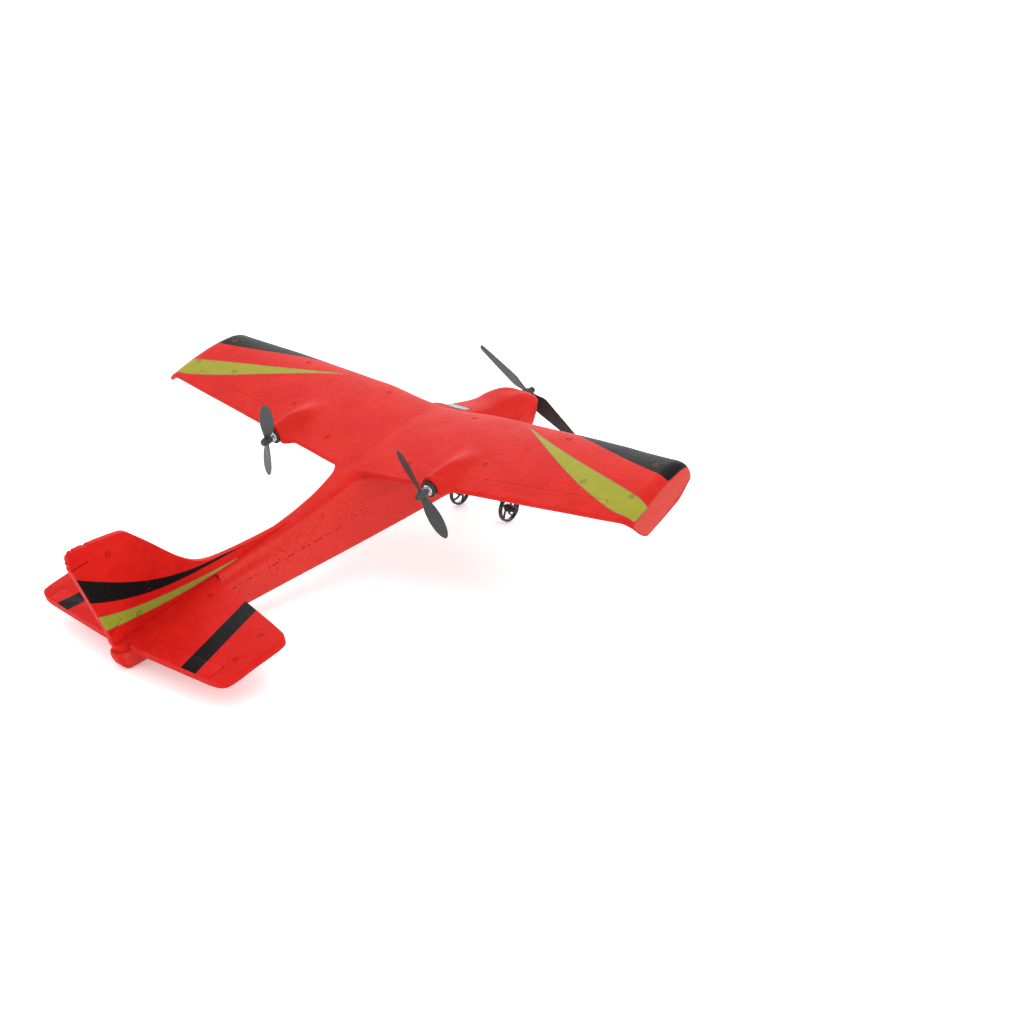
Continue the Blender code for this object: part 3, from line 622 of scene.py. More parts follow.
def board(name):
    """A small circuit board: solder mask over faint tracks, with tinned pads."""
    g = Graph(name)
    p, (x, y, z), _ = g.datum()
    tracks = g.cells(g.stretch(p, (0.9, 0.55, 0.9)), 0.8, "DISTANCE_TO_EDGE", 0.35)
    pads = g.cells(p, 0.42, "F1", 0.25)
    tone = g.mix(g.ramp(tracks.outputs["Distance"], 0.05, 0.12, 0.7, 0.0), (0.012, 0.10, 0.038), (0.03, 0.22, 0.08))
    pad = g.ramp(pads.outputs["Distance"], 0.16, 0.21, 1.0, 0.0)
    g.set("Base Color", g.mix(pad, tone, (0.55, 0.52, 0.45)))
    g.set("Metallic", g.math("MULTIPLY", pad, 0.85))
    g.set("Roughness", g.math("MULTIPLY_ADD", pad, -0.12, 0.42))
    return g.mat


def wrap(name):
    """A cell's shrink wrap: glossy film with soft wrinkles."""
    g = Graph(name)
    p, (x, y, z), _ = g.datum()
    wrinkles = g.noise(g.stretch(p, (0.5, 0.12, 0.5)), 1.4, 3.0, 0.55, 0.8)
    tone = g.mix(g.ramp(wrinkles, 0.35, 0.7), (0.030, 0.060, 0.22), (0.055, 0.105, 0.34))
    g.set("Base Color", tone)
    g.set("Roughness", g.math("MULTIPLY_ADD", wrinkles, 0.22, 0.16))
    g.set("Normal", g.bump(wrinkles, 0.35, 0.0003))
    return g.mat


FOAM_WING = foam("foam_wing", wing_stripes)
FOAM_FIN = foam("foam_fin", fin_stripes, yellows=(YELLOW_FIN, YELLOW_FIN_WARM), reds=REDS_TAIL)
FOAM_TAIL = foam("foam_tail", tail_band, reds=REDS_TAIL)
FOAM_BODY = foam("foam_body", screen=True, sides=True)
FOAM_PLAIN = foam("foam_plain")
BLACK_PLASTIC = plastic("black_satin_plastic", (0.0095, 0.0105, 0.0120), 0.40, specular=0.4)
GEAR_PLASTIC = plastic("wheel_black_plastic", (0.0090, 0.0090, 0.0105), 0.36, specular=0.4)
PUSHER_PLASTIC = plastic("propeller_grey_plastic", (0.0210, 0.0275, 0.0270), 0.44, 0.5, 0.4)
NOSE_PLASTIC = plastic("nose_propeller_plastic", (0.0130, 0.0185, 0.0180), 0.36, 0.5, 0.35)
WHITE_PLASTIC = plastic("white_plastic", (0.47, 0.47, 0.455), 0.36, light=1.12)
SHEATH = plastic("lead_sheath", (0.020, 0.020, 0.022), 0.55)
STEEL = metal("drawn_steel", (0.55, 0.55, 0.57), 0.30)
CAN = metal("plated_can", (0.90, 0.90, 0.92), 0.27, (0.3, 6.0, 0.3))
BOARD, CELL = board("circuit_board"), wrap("battery_wrap")


# ---------------------------------------------------------------- wing


def corner(ax, start, size):
    t = min(max((ax - start) / (HALF_SPAN - start), 0.0), 0.999)
    return size * (1 - math.sqrt(1 - t * t))


def y_le(x):
    ax = abs(x)
    bow = 3.0 * float(smooth((ax - 8) / 38)) * (1 - 0.65 * float(smooth((ax - 105) / 60)))
    return 80.6 - 5.0 * ax / HALF_SPAN + bow - corner(ax, HALF_SPAN - 8, 7.0)


def y_te(x):
    ax = abs(x)
    drawn = 4.6 * (1 - float(smooth((abs(ax - MOTOR_X) - 5.2) / 6.5)))
    return 3.4 + 21.6 * ax / HALF_SPAN + corner(ax, HALF_SPAN - 4, 3.0) - drawn


def fullness(s):
    return 10 * (0.2969 * np.sqrt(s) - 0.126 * s - 0.3516 * s**2 + 0.2843 * s**3 - 0.1015 * s**4)


def tip_round(ax):
    t = min(max((ax - (HALF_SPAN - 5)) / 5, 0.0), 0.9985)
    return math.sqrt(1 - t * t)


def rake(ax, s):
    return 5.4 * (1 - s) ** 1.2 * smooth((ax - 140) / 35)


def droop(ax, s):
    inboard = HALF_SPAN - ax + rake(HALF_SPAN, s) * (1 - smooth((ax - 140) / 35)) * 0.4
    return (4.2 + 2.8 * smooth(s / 0.3)) * np.maximum(1 - inboard / 13.0, 0.0) ** 2


def wing_z(x, s, upper):
    ax = abs(x)
    s = np.asarray(s, float)
    z_le, z_te = -9.0 + 0.075 * ax, -4.8 + 0.045 * ax
    middle = z_le + s * (z_te - z_le) - droop(ax, s)
    taper = 1 - 0.08 * ax / HALF_SPAN
    if not upper:
        return middle - (2.8 * taper * fullness(s) + 1.2 * s) * tip_round(ax)
    z = middle + (5.8 * taper * fullness(s) + 1.2 * s) * tip_round(ax)
    y = y_le(x) + s * (y_te(x) - y_le(x))
    off = min(abs(ax - MOTOR_X) / 9.5, 1.0)
    crest = np.maximum(6.6 - z, 0.0) * smooth((46.0 - y) / 28.0)
    return z + crest * math.cos(math.pi / 2 * off) ** 2


def wing_at(x, y, upper):
    s = np.clip((y_le(x) - np.asarray(y, float)) / (y_le(x) - y_te(x)), 0.0, 1.0)
    return wing_z(x, s, upper)


def wing_ring(x, count_up=48, count_low=30, round_te=0.7):
    chord = y_le(x) - y_te(x)
    last = 1 - round_te / chord
    up = (1 - np.cos(np.linspace(0, math.pi, count_up))) / 2 * last
    low = ((1 - np.cos(np.linspace(0, math.pi, count_low))) / 2 * last)[::-1][:-1]
    zu, zl = wing_z(x, np.array([last]), True)[0], wing_z(x, np.array([last]), False)[0]
    arc = np.linspace(math.pi / 2, -math.pi / 2, 9)[1:-1]
    s = np.concatenate([up, last + (1 - last) * np.cos(arc), low])
    z = np.concatenate([wing_z(x, up, True), (zu + zl) / 2 + (zu - zl) / 2 * np.sin(arc), wing_z(x, low, False)])
    xs = x - math.copysign(1.0, x) * rake(abs(x), s) if x else np.zeros_like(s)
    ring = np.column_stack([xs, y_le(x) - s * chord, z])
    # over the boom the rear edge runs out in a tongue that lies down on the spine
    share = 1 - smooth((abs(x) - 5.5) / 6.0)
    if share > 0:
        rear = y_te(x) + 0.6 - 1.9 * np.arange(7)
        spine = np.interp(rear, [-20.0, -8.0, 2.6], [5.6, 6.8, 8.6])
        laid = np.interp(rear, [-20.0, -8.0, 2.6], [-7.2, -5.6, -3.9]) - 1.5 * (abs(x) / spine) ** 3.7
        laid += np.array((0.10, 0.15, 0.17, 0.16, 0.12, -0.05, -0.9))
        run_on = zu - 0.106 * (ring[count_up - 1, 1] - rear)
        laid += (1 - smooth(np.arange(7) / 4.5)) * (run_on - laid)
        edge_part = slice(count_up, count_up + 7)
        ring[edge_part, 1] += share * (rear - ring[edge_part, 1])
        ring[edge_part, 2] += share * (laid - ring[edge_part, 2])
    return ring


def ripple(points, amount, scale, seed):
    """A slight unevenness of the moulded skin, in height."""
    out = np.array(points, float)
    for q in out:
        q[2] += amount * noise.noise(Vector((q[0] * scale + seed, q[1] * scale, q[2] * scale * 0.5)))
    return out


half = list(np.arange(0.8, 13.2, 0.8)) + list(np.arange(13.8, 46, 2.2)) + list(np.arange(46.6, 70, 0.9)) + list(np.arange(70.6, 150, 1.9))
half += list(np.arange(150.5, 166, 1.1)) + list(np.arange(166.4, 173, 0.6)) + [173.2, 173.7, 174.1, 174.45, 174.7, 174.87, 174.96, 175.0]
stations = [-x for x in reversed(half)] + [0.0] + half
wing = loft("wing_foam", [ripple(wing_ring(x), 0.16 * tip_round(abs(x)), 0.07, 3.0) for x in stations], 42)

AIL_IN, AIL_OUT, HINGE_GAP = 80.0, 150.0, 0.65


def aileron_hinge(ax):
    return 23.4 + 0.124 * (ax - AIL_IN)


def prism(name, outline, low, high):
    """A plain cutter: an outline (x, y) from low to high in Z."""
    p = np.asarray(outline, float)
    rings = [np.column_stack([p, np.full(len(p), h)]) for h in (low, high)]
    return loft(name, rings)


def rod(name, radius, low, high, axis, centre, count=40):
    return turned(name, [(radius, low), (radius, high)], axis, centre, count)


tools = []
for side in (-1, 1):
    x = side * MOTOR_X
    notch = [(AIL_IN - 0.14, 0.0), (AIL_OUT + 0.14, 0.0), (AIL_OUT + 0.14, aileron_hinge(AIL_OUT + 0.14) + HINGE_GAP)]
    notch += [(AIL_IN - 0.14, aileron_hinge(AIL_IN - 0.14) + HINGE_GAP)]
    tools.append(prism(f"notch_{side}", [(side * a, b) for a, b in notch], -20, 25))
    channel = [(0.05, 25.4), (4.3, 25.4), (4.3, 9.4), (4.6, 8.9), (4.6, -1.0), (0.05, -1.0)]
    tools.append(turned(f"motor_channel_{side}", channel, "Y", (x, 0, 0), 40))
combine(wing, tools, sharp=42)
dress(wing, FOAM_WING, "airframe", "red_foam", "wing")


def aileron_ring(x):
    front, rear = aileron_hinge(abs(x)), y_te(x)
    rows = np.concatenate([[front, front - 0.25], np.linspace(front - 0.8, rear + 0.7, 9)])
    zu, zl = wing_at(x, rows, True), wing_at(x, rows, False)
    arc = np.linspace(math.pi / 2, -math.pi / 2, 9)[1:-1]
    zc, zh = (zu[-1] + zl[-1]) / 2, (zu[-1] - zl[-1]) / 2
    ys = np.concatenate([rows, rear + 0.7 - 0.7 * np.cos(arc), rows[::-1]])
    zs = np.concatenate([zu, zc + zh * np.sin(arc), zl[::-1]])
    zs[0] -= 0.10
    zs[-1] += 0.22
    return np.column_stack([np.full(len(ys), x), ys, zs])


for side, word in ((-1, "left"), (1, "right")):
    spans = np.linspace(AIL_IN, AIL_OUT, 38)
    tab = loft("aileron_foam_" + word, [ripple(aileron_ring(side * x), 0.16, 0.07, 3.0) for x in spans], 42)
    dress(tab, FOAM_WING, "aileron_" + word, "red_foam", "aileron_" + word)

# ---------------------------------------------------------------- fuselage


def belly_z(y):
    return BELLY_Z0 + BELLY_SLOPE * y


def half_section(top, spine, cove, width, seam, flat, bottom):
    return [
        (0.0, top), (spine * 0.62, top - 0.25), (spine, top - 1.5), cove, (width - 0.6, seam + 3.2), (width, seam + 0.6),
        (width - 0.3, seam - 2.6), (flat + 1.6, bottom + 2.4), (flat, bottom), (0.0, bottom),
    ]


def under_wing(y, spine, width, seam, flat):
    seat = [(x, float(wing_at(x, y, False)) - 0.45) for x in (0.0, spine * 0.62, spine)]
    bottom = belly_z(y)
    return seat + [
        (width - 0.9, seat[2][1] - 4.0), (width - 0.3, seam + 4.0), (width, seam + 0.6),
        (width - 0.3, seam - 2.6), (flat + 1.6, bottom + 2.4), (flat, bottom), (0.0, bottom),
    ]


NOSE_BASE = [(0.0, -19.9), (5.5, -20.15), (8.9, -21.4), (12.4, -25.7), (13.4, -32.4), (13.8, -34.0)]
NOSE_BASE += [(13.4, -35.7), (11.0, -54.2), (9.2, -56.8), (0.0, -56.8)]


def nose_section(y):
    """The nose closes like a chisel: quickly in height, and in width only at its end."""
    u = (y - 115.0) / 29.4
    tall, wide = (1 - u**1.7) ** (1 / 1.45), (1 - u**10) ** (1 / 3)
    return [(x * wide, -37.6 + (z + 37.6) * tall + 4.5 * u * u) for x, z in NOSE_BASE]


TAIL_END = [(0.0, -10.5), (0.7, -10.8), (1.2, -12.0), (1.7, -13.4), (2.2, -14.2), (2.4, -15.4)]
TAIL_END += [(2.3, -16.6), (1.7, -17.6), (1.0, -18.0), (0.0, -18.0)]
AFT = [
    (-154.6, TAIL_END),
    (-153.0, half_section(-9.9, 2.0, (3.2, -13.2), 4.6, -17.0, 2.6, -21.6)),
    (TAIL_Y, half_section(-9.3, 2.4, (3.6, -12.8), 5.7, -17.2, 3.6, TAIL_Z)),
    (-145.0, half_section(-9.1, 2.6, (3.8, -12.7), 6.0, -17.3, 4.0, belly_z(-145))),
    (-120.0, half_section(-8.7, 3.0, (4.0, -12.4), 6.2, -17.6, 4.2, belly_z(-120))),
    (-80.0, half_section(-8.5, 3.6, (4.7, -12.6), 7.8, -19.0, 5.4, belly_z(-80))),
    (-40.0, half_section(-8.4, 4.8, (6.2, -12.8), 9.7, -21.8, 7.0, belly_z(-40))),
    (-20.0, half_section(-7.2, 5.6, (7.2, -12.0), 10.8, -22.8, 7.9, belly_z(-20))),
    (-8.0, half_section(-5.6, 6.8, (8.6, -10.8), 11.5, -22.0, 8.4, belly_z(-8))),
    (2.6, half_section(-3.9, 8.6, (9.8, -9.0), 12.0, -21.4, 8.8, belly_z(2.6))),
]
MID = [
    (3.0, under_wing(3.0, 8.7, 12.02, -21.4, 8.8)[:3] + [(9.95, -9.3), (11.45, -18.1), (12.02, -20.8)] + AFT[-1][1][6:]),
    (20.0, under_wing(20.0, 10.0, 12.7, -24.4, 9.3)),
    (42.0, under_wing(42.0, 11.0, 13.2, -27.6, 9.7)),
    (62.0, under_wing(62.0, 11.4, 13.6, -30.5, 9.9)),
    (69.5, under_wing(69.5, 11.4, 13.75, -31.4, 10.0)),
]
# ahead of that the body rises through the wing's leading edge and fairs it in
FORE = [
    (70.0, half_section(-3.8, 10.4, (12.4, -11.5), 13.75, -31.4, 10.0, belly_z(70))),
    (73.0, half_section(-3.96, 10.4, (12.4, -11.5), 13.8, -31.7, 10.05, belly_z(73))),
    (76.0, half_section(-4.93, 10.4, (12.4, -11.5), 13.9, -32.0, 10.1, belly_z(76))),
    (79.0, half_section(-5.6, 10.4, (12.4, -11.5), 13.95, -32.2, 10.15, belly_z(79))),
    (81.3, half_section(-6.4, 10.4, (12.4, -11.5), 14.0, -32.3, 10.2, belly_z(81.3))),
    (88.0, half_section(-11.2, 10.5, (12.8, -16.6), 14.1, -32.7, 10.3, belly_z(88))),
    (96.0, half_section(-14.7, 10.6, (12.9, -20.4), 14.2, -33.0, 10.3, belly_z(96))),
]
FORE += [(float(y), nose_section(y)) for y in (115, 119, 123, 127, 131, 134, 137, 139, 140.5, 141.7, 142.7)]


def body_rings(group, ys):
    at = np.array([y for y, _ in group])
    table = np.array([np.ravel(h) for _, h in group])
    for y, row in zip(ys, pchip(at, table, ys)):
        h = row.reshape(-1, 2)
        ring = np.concatenate([h, (h[1:-1] * (-1, 1))[::-1]])
        ring = rounded(ring, 5)
        # the belly stays flat
        ring[:, 1] = np.maximum(ring[:, 1], h[-1, 1])
        yield np.column_stack([ring[:, 0], np.full(len(ring), y), ring[:, 1]])


rings = list(body_rings(AFT, np.concatenate([[-154.6, -154.3, -153.9, -153.4, -152.8, -152.0, -151.0], np.linspace(-149.5, 2.6, 62)])))
rings += list(body_rings(MID, np.linspace(3.0, 69.5, 26)))
rings += list(body_rings(FORE, np.concatenate([np.linspace(70.0, 138, 44), np.linspace(138.5, 142.7, 18)])))
tail_end, nose_end = rings[0], rings[-1]


def shrunk(ring, factor, shift):
    middle = ring.mean(0)
    out = middle + (ring - middle) * (factor, 1.0, factor)
    out[:, 1] += shift
    return out


rings = [shrunk(tail_end, 0.7, 0.0)] + rings + [shrunk(nose_end, 0.93, 0.2), shrunk(nose_end, 0.82, 0.29)]
rings[1][:, 1] = -154.45
fuselage = loft("fuselage_foam", [np.array(r) for r in rings], 34)
NOSE_HUB = np.array((0.0, 146.8, -33.4))
tools = [
    rod("nose_bore", 2.35, -14.4, 4, "Y", NOSE_HUB),
    block("gear_recess", (-9.35, 87.65, -75), (9.35, 103.35, -53.0)),
    block("bay", (-8.2, -18.6, -6), (8.2, 18.6, 14.0), belly=True),
    block("cover_recess", (-9.2, -20.4, -6), (9.2, 20.4, 1.95), belly=True),
    block("switch_recess", (-2.75, -32.35, -6), (2.75, -23.65, 4.55), belly=True),
    block("tailplane_seat", (-30, -170, STAB_TOP - STAB_T - 0.15), (30, -90.9, 10)),
]
combine(fuselage, tools, sharp=34)
dress(fuselage, FOAM_BODY, "airframe", "red_foam", "fuselage")

# ---------------------------------------------------------------- fin and tailplane
RUDDER_TOP, RUDDER_FOOT = (-151.4, 37.4), (-145.75, 1.0)


def chain(points, spacing):
    """Straight runs between points, divided."""
    out = []
    for a, b in zip(points, points[1:]):
        a, b = np.asarray(a, float), np.asarray(b, float)
        n = max(int(np.linalg.norm(b - a) / spacing), 1)
        out += [tuple(a + (b - a) * i / n) for i in range(n)]
    return out + [tuple(points[-1])]


fin_front = [(-41.0, -8.3), (-51.9, -7.2), (-63, -5.6), (-74.4, -3.7), (-83, -2.0), (-89.5, -0.3), (-94, 1.4), (-97.8, 3.5)]
fin_front += [(-101.4, 6.4), (-104.9, 9.8), (-111.3, 17.6), (-119.4, 28.5), (-126.2, 37.0), (-127.6, 38.7), (-129.6, 40.2)]
fin_front += [(-132.2, 41.1), (-142.5, 43.6), (-153.4, 45.6), (-156.6, 45.9), (-158.8, 44.7), (-159.9, 42.4), (-160.1, 37.82)]
edge = rounded(fin_front, 9, closed=False)
# a small step under the fin's rear end, the scored line, and the foot below the tab
under = [(-160.1, 37.82), (RUDDER_TOP[0] + 0.4, 37.56), (RUDDER_FOOT[0] + 0.4, RUDDER_FOOT[1] + 0.05), (-153.4, -3.4)]
under += [(-153.75, -5.2), (-153.6, -9.2), (-91.2, -9.2), (-90.5, -12.2), (-41.0, -12.2), (-41.0, -8.3)]
outline = [tuple(q) for q in edge] + chain(under, 2.2)[1:-1]
# the top rear edge is nibbled where the foam has been rubbed
bites = np.zeros((len(outline), 2))
for i, q in enumerate(edge):
    worn = float(smooth((-q[0] - 141.0) / 6.0) * smooth((q[1] - 38.4) / 1.5))
    bite = max(noise.noise(Vector((q[0] * 0.55, q[1] * 0.55, 4.2))), 0.0) * 1.5 + max(noise.noise(Vector((q[0] * 1.7, q[1] * 1.7, 9.1))), 0.0) * 0.7
    bites[i] = worn * bite * np.array((0.35, -0.9) if q[0] > -157.0 else (0.9, -0.3))
fin = slab("fin_foam", outline, -FIN_T / 2, FIN_T / 2, 0.6, "X", 5, bites)
dress(fin, FOAM_FIN, "airframe", "red_foam", "fin")

rudder = chain([RUDDER_TOP, (-160.0, 37.62), (-159.1, 32.0), (-153.75, -2.9), RUDDER_FOOT, RUDDER_TOP], 1.6)[:-1]
tab = slab("rudder_tab_foam", rudder, -FIN_T / 2, FIN_T / 2, 0.3, "X", 4)
dress(tab, FOAM_FIN, "rudder_tab", "red_foam", "rudder_tab")

ELEV_IN, ELEV_OUT = (15.5, -140.1), (61.0, -137.4)


def stab_te(x):
    return -149.3 + (x - 8.4) * 0.0565


lead = [(0.0, -91.5), (8.0, -93.2), (32.0, -98.2), (62.6, -104.9), (67.2, -106.2), (69.6, -108.0), (70.7, -110.8), (70.3, -128.0)]
lead += [(69.9, -140.6), (68.8, -143.6), (66.0, -145.4), (ELEV_OUT[0] + 0.14, stab_te(61.4))]
right = [tuple(q) for q in rounded(lead, 6, closed=False)]
right += [(ELEV_OUT[0] + 0.14, ELEV_OUT[1] + HINGE_GAP), (ELEV_IN[0] - 0.14, ELEV_IN[1] + HINGE_GAP)]
right += [(ELEV_IN[0] - 0.14, stab_te(15.2)), (11.0, -149.15), (8.0, -149.2), (6.7, -147.2), (5.95, -146.75), (5.35, -147.2)]
right += [(5.15, -148.6), (4.85, -150.0), (4.25, -151.2), (3.3, -152.2), (2.2, -152.85), (1.1, -153.2), (0.0, -153.3)]
stab = right + [(-x, y) for x, y in reversed(right[1:-1])]
tailplane = slab("tailplane_foam", stab, STAB_TOP - STAB_T, STAB_TOP, 0.5, "Z", 5)
dress(tailplane, FOAM_TAIL, "airframe", "red_foam", "tailplane")
for side, word in ((-1, "left"), (1, "right")):
    corners = [ELEV_IN, ELEV_OUT, (61.0, stab_te(61.0)), (15.5, stab_te(15.5)), ELEV_IN]
    shape = [(side * x, y) for x, y in chain(corners, 2.0)[:-1]]
    tab = slab("elevator_foam_" + word, shape, STAB_TOP - STAB_T, STAB_TOP, 0.3, "Z", 4)
    dress(tab, FOAM_TAIL, "elevator_" + word, "red_foam", "elevator_" + word)


# ---------------------------------------------------------------- foam webs left under the scored hinge lines


def web(name, rows, slot_mat, start, end):
    """A thin strip of foam across a scored line."""
    obj = loft(name, rows, 50)
    obj.data.materials.append(slot_mat)
    a, b = world([start, end])
    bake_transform(obj)


for side, word in ((-1, "left"), (1, "right")):
    rows = []
    for ax in np.linspace(AIL_IN + 0.4, AIL_OUT - 0.4, 20):
        x = side * ax
        front, rear = aileron_hinge(ax) + HINGE_GAP + 0.25, aileron_hinge(ax) - 0.25
        zu, zl = float(wing_at(x, front, True)), float(wing_at(x, front, False))
        wobble = 0.16 * noise.noise(Vector((x * 0.07 + 3.0, front * 0.07, zu * 0.035)))
        zr = float(wing_at(x, rear, True))
        rows.append(np.array([(x, front, zu + wobble - 0.10), (x, rear, zr + wobble - 0.12), (x, rear, zl + 1.0), (x, front, zl + 1.0)]))
    mid = side * 115.0
    hinge_y = aileron_hinge(115.0)
    web("aileron_web_" + word, rows, FOAM_WING, (mid, hinge_y + HINGE_GAP, 2.0), (mid, hinge_y, 2.0))
    rows = []
    for t in np.linspace(0.01, 0.99, 20):
        x = ELEV_IN[0] + (ELEV_OUT[0] - ELEV_IN[0]) * t
        y = ELEV_IN[1] + (ELEV_OUT[1] - ELEV_IN[1]) * t
        top, low = STAB_TOP - 0.13, STAB_TOP - STAB_T + 1.0
        rows.append(np.array([(side * x, y + 1.3, top), (side * x, y - 0.5, top), (side * x, y - 0.5, low), (side * x, y + 1.3, low)]))
    mid = side * (ELEV_IN[0] + ELEV_OUT[0]) / 2
    hinge_y = (ELEV_IN[1] + ELEV_OUT[1]) / 2
    web("elevator_web_" + word, rows, FOAM_TAIL, (mid, hinge_y + HINGE_GAP, -11.1), (mid, hinge_y, -11.1))
rows = []
for t in np.linspace(0.012, 0.985, 20):
    y = RUDDER_TOP[0] + (RUDDER_FOOT[0] - RUDDER_TOP[0]) * t
    z = RUDDER_TOP[1] + (RUDDER_FOOT[1] - RUDDER_TOP[1]) * t
    h = FIN_T / 2 - 0.13
    rows.append(np.array([(h, y + 1.3, z), (h, y - 0.5, z), (-h, y - 0.5, z), (-h, y + 1.3, z)]))
mid_y, mid_z = (RUDDER_TOP[0] + RUDDER_FOOT[0]) / 2, (RUDDER_TOP[1] + RUDDER_FOOT[1]) / 2
web("rudder_web", rows, FOAM_FIN, (0, mid_y + HINGE_GAP, mid_z), (0, mid_y, mid_z))

# ---------------------------------------------------------------- moulding marks: steam vents and seam pits


def surface_dots(name, dots, mat, body):
    """Small flat lenses let into a surface in place of pits, carrying a dark material that is painted shade of the
    hollow. A dot is (point, normal, along, half length, half width).
    """
    verts, faces = [], []
    for q, n, along, length, width in dots:
        q, n, along = (np.asarray(v, float) for v in (q, n, along))
        n /= np.linalg.norm(n)
        along = along - n * np.dot(along, n)
        along /= np.linalg.norm(along)
        across = np.cross(n, along)
        base = len(verts)
        count = 12
        verts.append(q + n * 0.030)
        for ring_r, lift in ((0.6, 0.026), (1.0, -0.02), (0.7, -0.25)):
            for a in np.linspace(0, 2 * math.pi, count, endpoint=False):
                verts.append(q + n * lift + ring_r * (math.cos(a) * length * along + math.sin(a) * width * across))
        verts.append(q - n * 0.30)
        for i in range(count):
            j = (i + 1) % count
            faces.append((base, base + 1 + i, base + 1 + j))
            for r in range(2):
                a, b = base + 1 + r * count, base + 1 + (r + 1) * count
                faces.append((a + i, b + i, b + j, a + j))
            faces.append((base + 1 + 3 * count, base + 1 + 2 * count + j, base + 1 + 2 * count + i))
    obj = solid(name, verts, faces, 60)
    return dress(obj, mat, body, "red_foam")


def pit_material(name, stripes=None):
    g = Graph(name)
    p, (x, y, z), (nx, ny, nz) = g.datum()
    # the pits' dark tones are painted shade in the hollows
    tone = g.mix(g.ramp(g.noise(p, 1.4, 2.0), 0.3, 0.7), (0.085, 0.002, 0.003), (0.150, 0.003, 0.004))
    if stripes is not None:
        ragged = g.math("MULTIPLY", g.noise(p, 1.0, 2.0), 0.2)
        yellow, black = stripes(g, x, y, z, 1.0, ragged)
        tone = g.mix(g.ramp(black, -0.1, 0.1), tone, (0.42, 0.085, 0.018))
        if yellow is not None:
            tone = g.mix(g.ramp(yellow, -0.1, 0.1), tone, (0.022, 0.042, 0.050))
    g.set("Base Color", tone)
    g.set("Roughness", 0.7)
    g.set("Specular IOR Level", 0.02)
    return g.mat


PIT_WING = pit_material("pit_wing", wing_stripes)
PIT_FIN = pit_material("pit_fin", fin_stripes)
PIT_TAIL = pit_material("pit_tail", tail_band)
PIT_BODY = pit_material("pit_body")


def wing_normal(x, y):
    e = 0.5
    dx = (wing_at(x + e, y, True) - wing_at(x - e, y, True)) / (2 * e)
    dy = (wing_at(x, y + e, True) - wing_at(x, y - e, True)) / (2 * e)
    return np.array((-float(dx), -float(dy), 1.0))


def vent(centre, reach=1.3):
    """Offsets of a vent's slots: a middle one and a ring around it."""
    out = [(0.0, 0.0, 0.0)]
    for k in range(8):
        a = k * math.pi / 4 + 0.3
        out.append((reach * math.cos(a), reach * math.sin(a), a))
    return out


WING_VENTS = [(155.2, 64.3), (159.4, 38.7), (97.0, 69.9), (71.3, 33.4), (32.0, 70.0), (30.2, 19.2), (129.4, 40.2)]
dots = []
for side in (-1, 1):
    for vx, vy in WING_VENTS:
        for u, v, a in vent((vx, vy)):
            x, y = side * (vx + u), vy + v
            wobble = 0.16 * noise.noise(Vector((x * 0.07 + 3.0, y * 0.07, float(wing_at(x, y, True)) * 0.035)))
            unraked = side * (vx + u + float(rake(abs(x), (y_le(x) - y) / (y_le(x) - y_te(x)))))
            z = float(wing_at(unraked, y, True)) + wobble
            n = wing_normal(unraked, y)
            dots.append(((x, y, z), n, (math.cos(a), math.sin(a), 0.0), 0.56 * random.uniform(0.7, 1.15), 0.34 * random.uniform(0.75, 1.15)))
surface_dots("wing_vent_marks", dots, PIT_WING, "airframe")
dots = []
for side in (-1, 1):
    for vy, vz in ((-140.9, 35.0), (-136.3, -1.8)):
        for u, v, a in vent((vy, vz)):
            dots.append(((side * FIN_T / 2, vy + u, vz + v), (side, 0, 0), (0, math.cos(a), math.sin(a)), 0.52, 0.32))
surface_dots("fin_vent_marks", dots, PIT_FIN, "airframe")
dots = []
for side in (-1, 1):
    for vx, vy in ((58.6, -112.7), (61.6, -130.6), (13.1, -103.7)):
        for u, v, a in vent((vx, vy)):
            dots.append(((side * (vx + u), vy + v, STAB_TOP), (0, 0, 1), (math.cos(a), math.sin(a), 0), 0.52, 0.32))
surface_dots("tailplane_vent_marks", dots, PIT_TAIL, "airframe")

# ---------------------------------------------------------------- motors and pusher propellers


def blade_rings(reach, width, root, pitch, turn, thick, count=44):
    ts = 1 - (1 - np.linspace(0, 1, count)) ** 1.6
    ws = pchip([t for t, _ in width], [c for _, c in width], ts)
    a = np.linspace(0, 2 * math.pi, 28, endpoint=False)
    rings = []
    for t, chord in zip(ts, ws):
        r = root + (reach - root) * t
        angle = turn * (math.radians(pitch) * (1 - 0.62 * t) + math.radians(6))
        half_chord, depth = chord / 2, thick * (1 - 0.55 * t) / 2
        u = np.cos(a)
        v = np.where(np.sin(a) > 0, 1.0, 0.55) * np.sin(a) * (1.0 - 0.25 * u) + 0.35 * (1 - u * u)
        x, y = u * half_chord, v * depth
        rings.append(np.column_stack([x * math.cos(angle) - y * math.sin(angle), x * math.sin(angle) + y * math.cos(angle), np.full(len(a), r)]))
    return rings


def spun(points, angle, hub):
    c, s = math.cos(angle), math.sin(angle)
    p = np.asarray(points, float)
    return np.column_stack([p[:, 0] * c + p[:, 2] * s, p[:, 1], -p[:, 0] * s + p[:, 2] * c]) + hub


def propeller(name, hub, angle, reach, widths, profile, bore, turn, pitch, thick, extra=()):
    prop = turned(name, profile, "Y", hub, 40)
    rings = blade_rings(reach, widths, 1.4, pitch, turn, thick)
    tools = []
    for way in (1, -1):
        blade = [spun(np.column_stack([way * r[:, 0], r[:, 1], way * r[:, 2]]), angle, hub) for r in rings]
        tools.append(loft(f"{name}_blade_{way}", blade, 50))
    combine(prop, tools + list(extra), "UNION", 40)
    combine(prop, [rod(name + "_bore", bore, -9, 9, "Y", hub, 24)], sharp=40)
    return prop


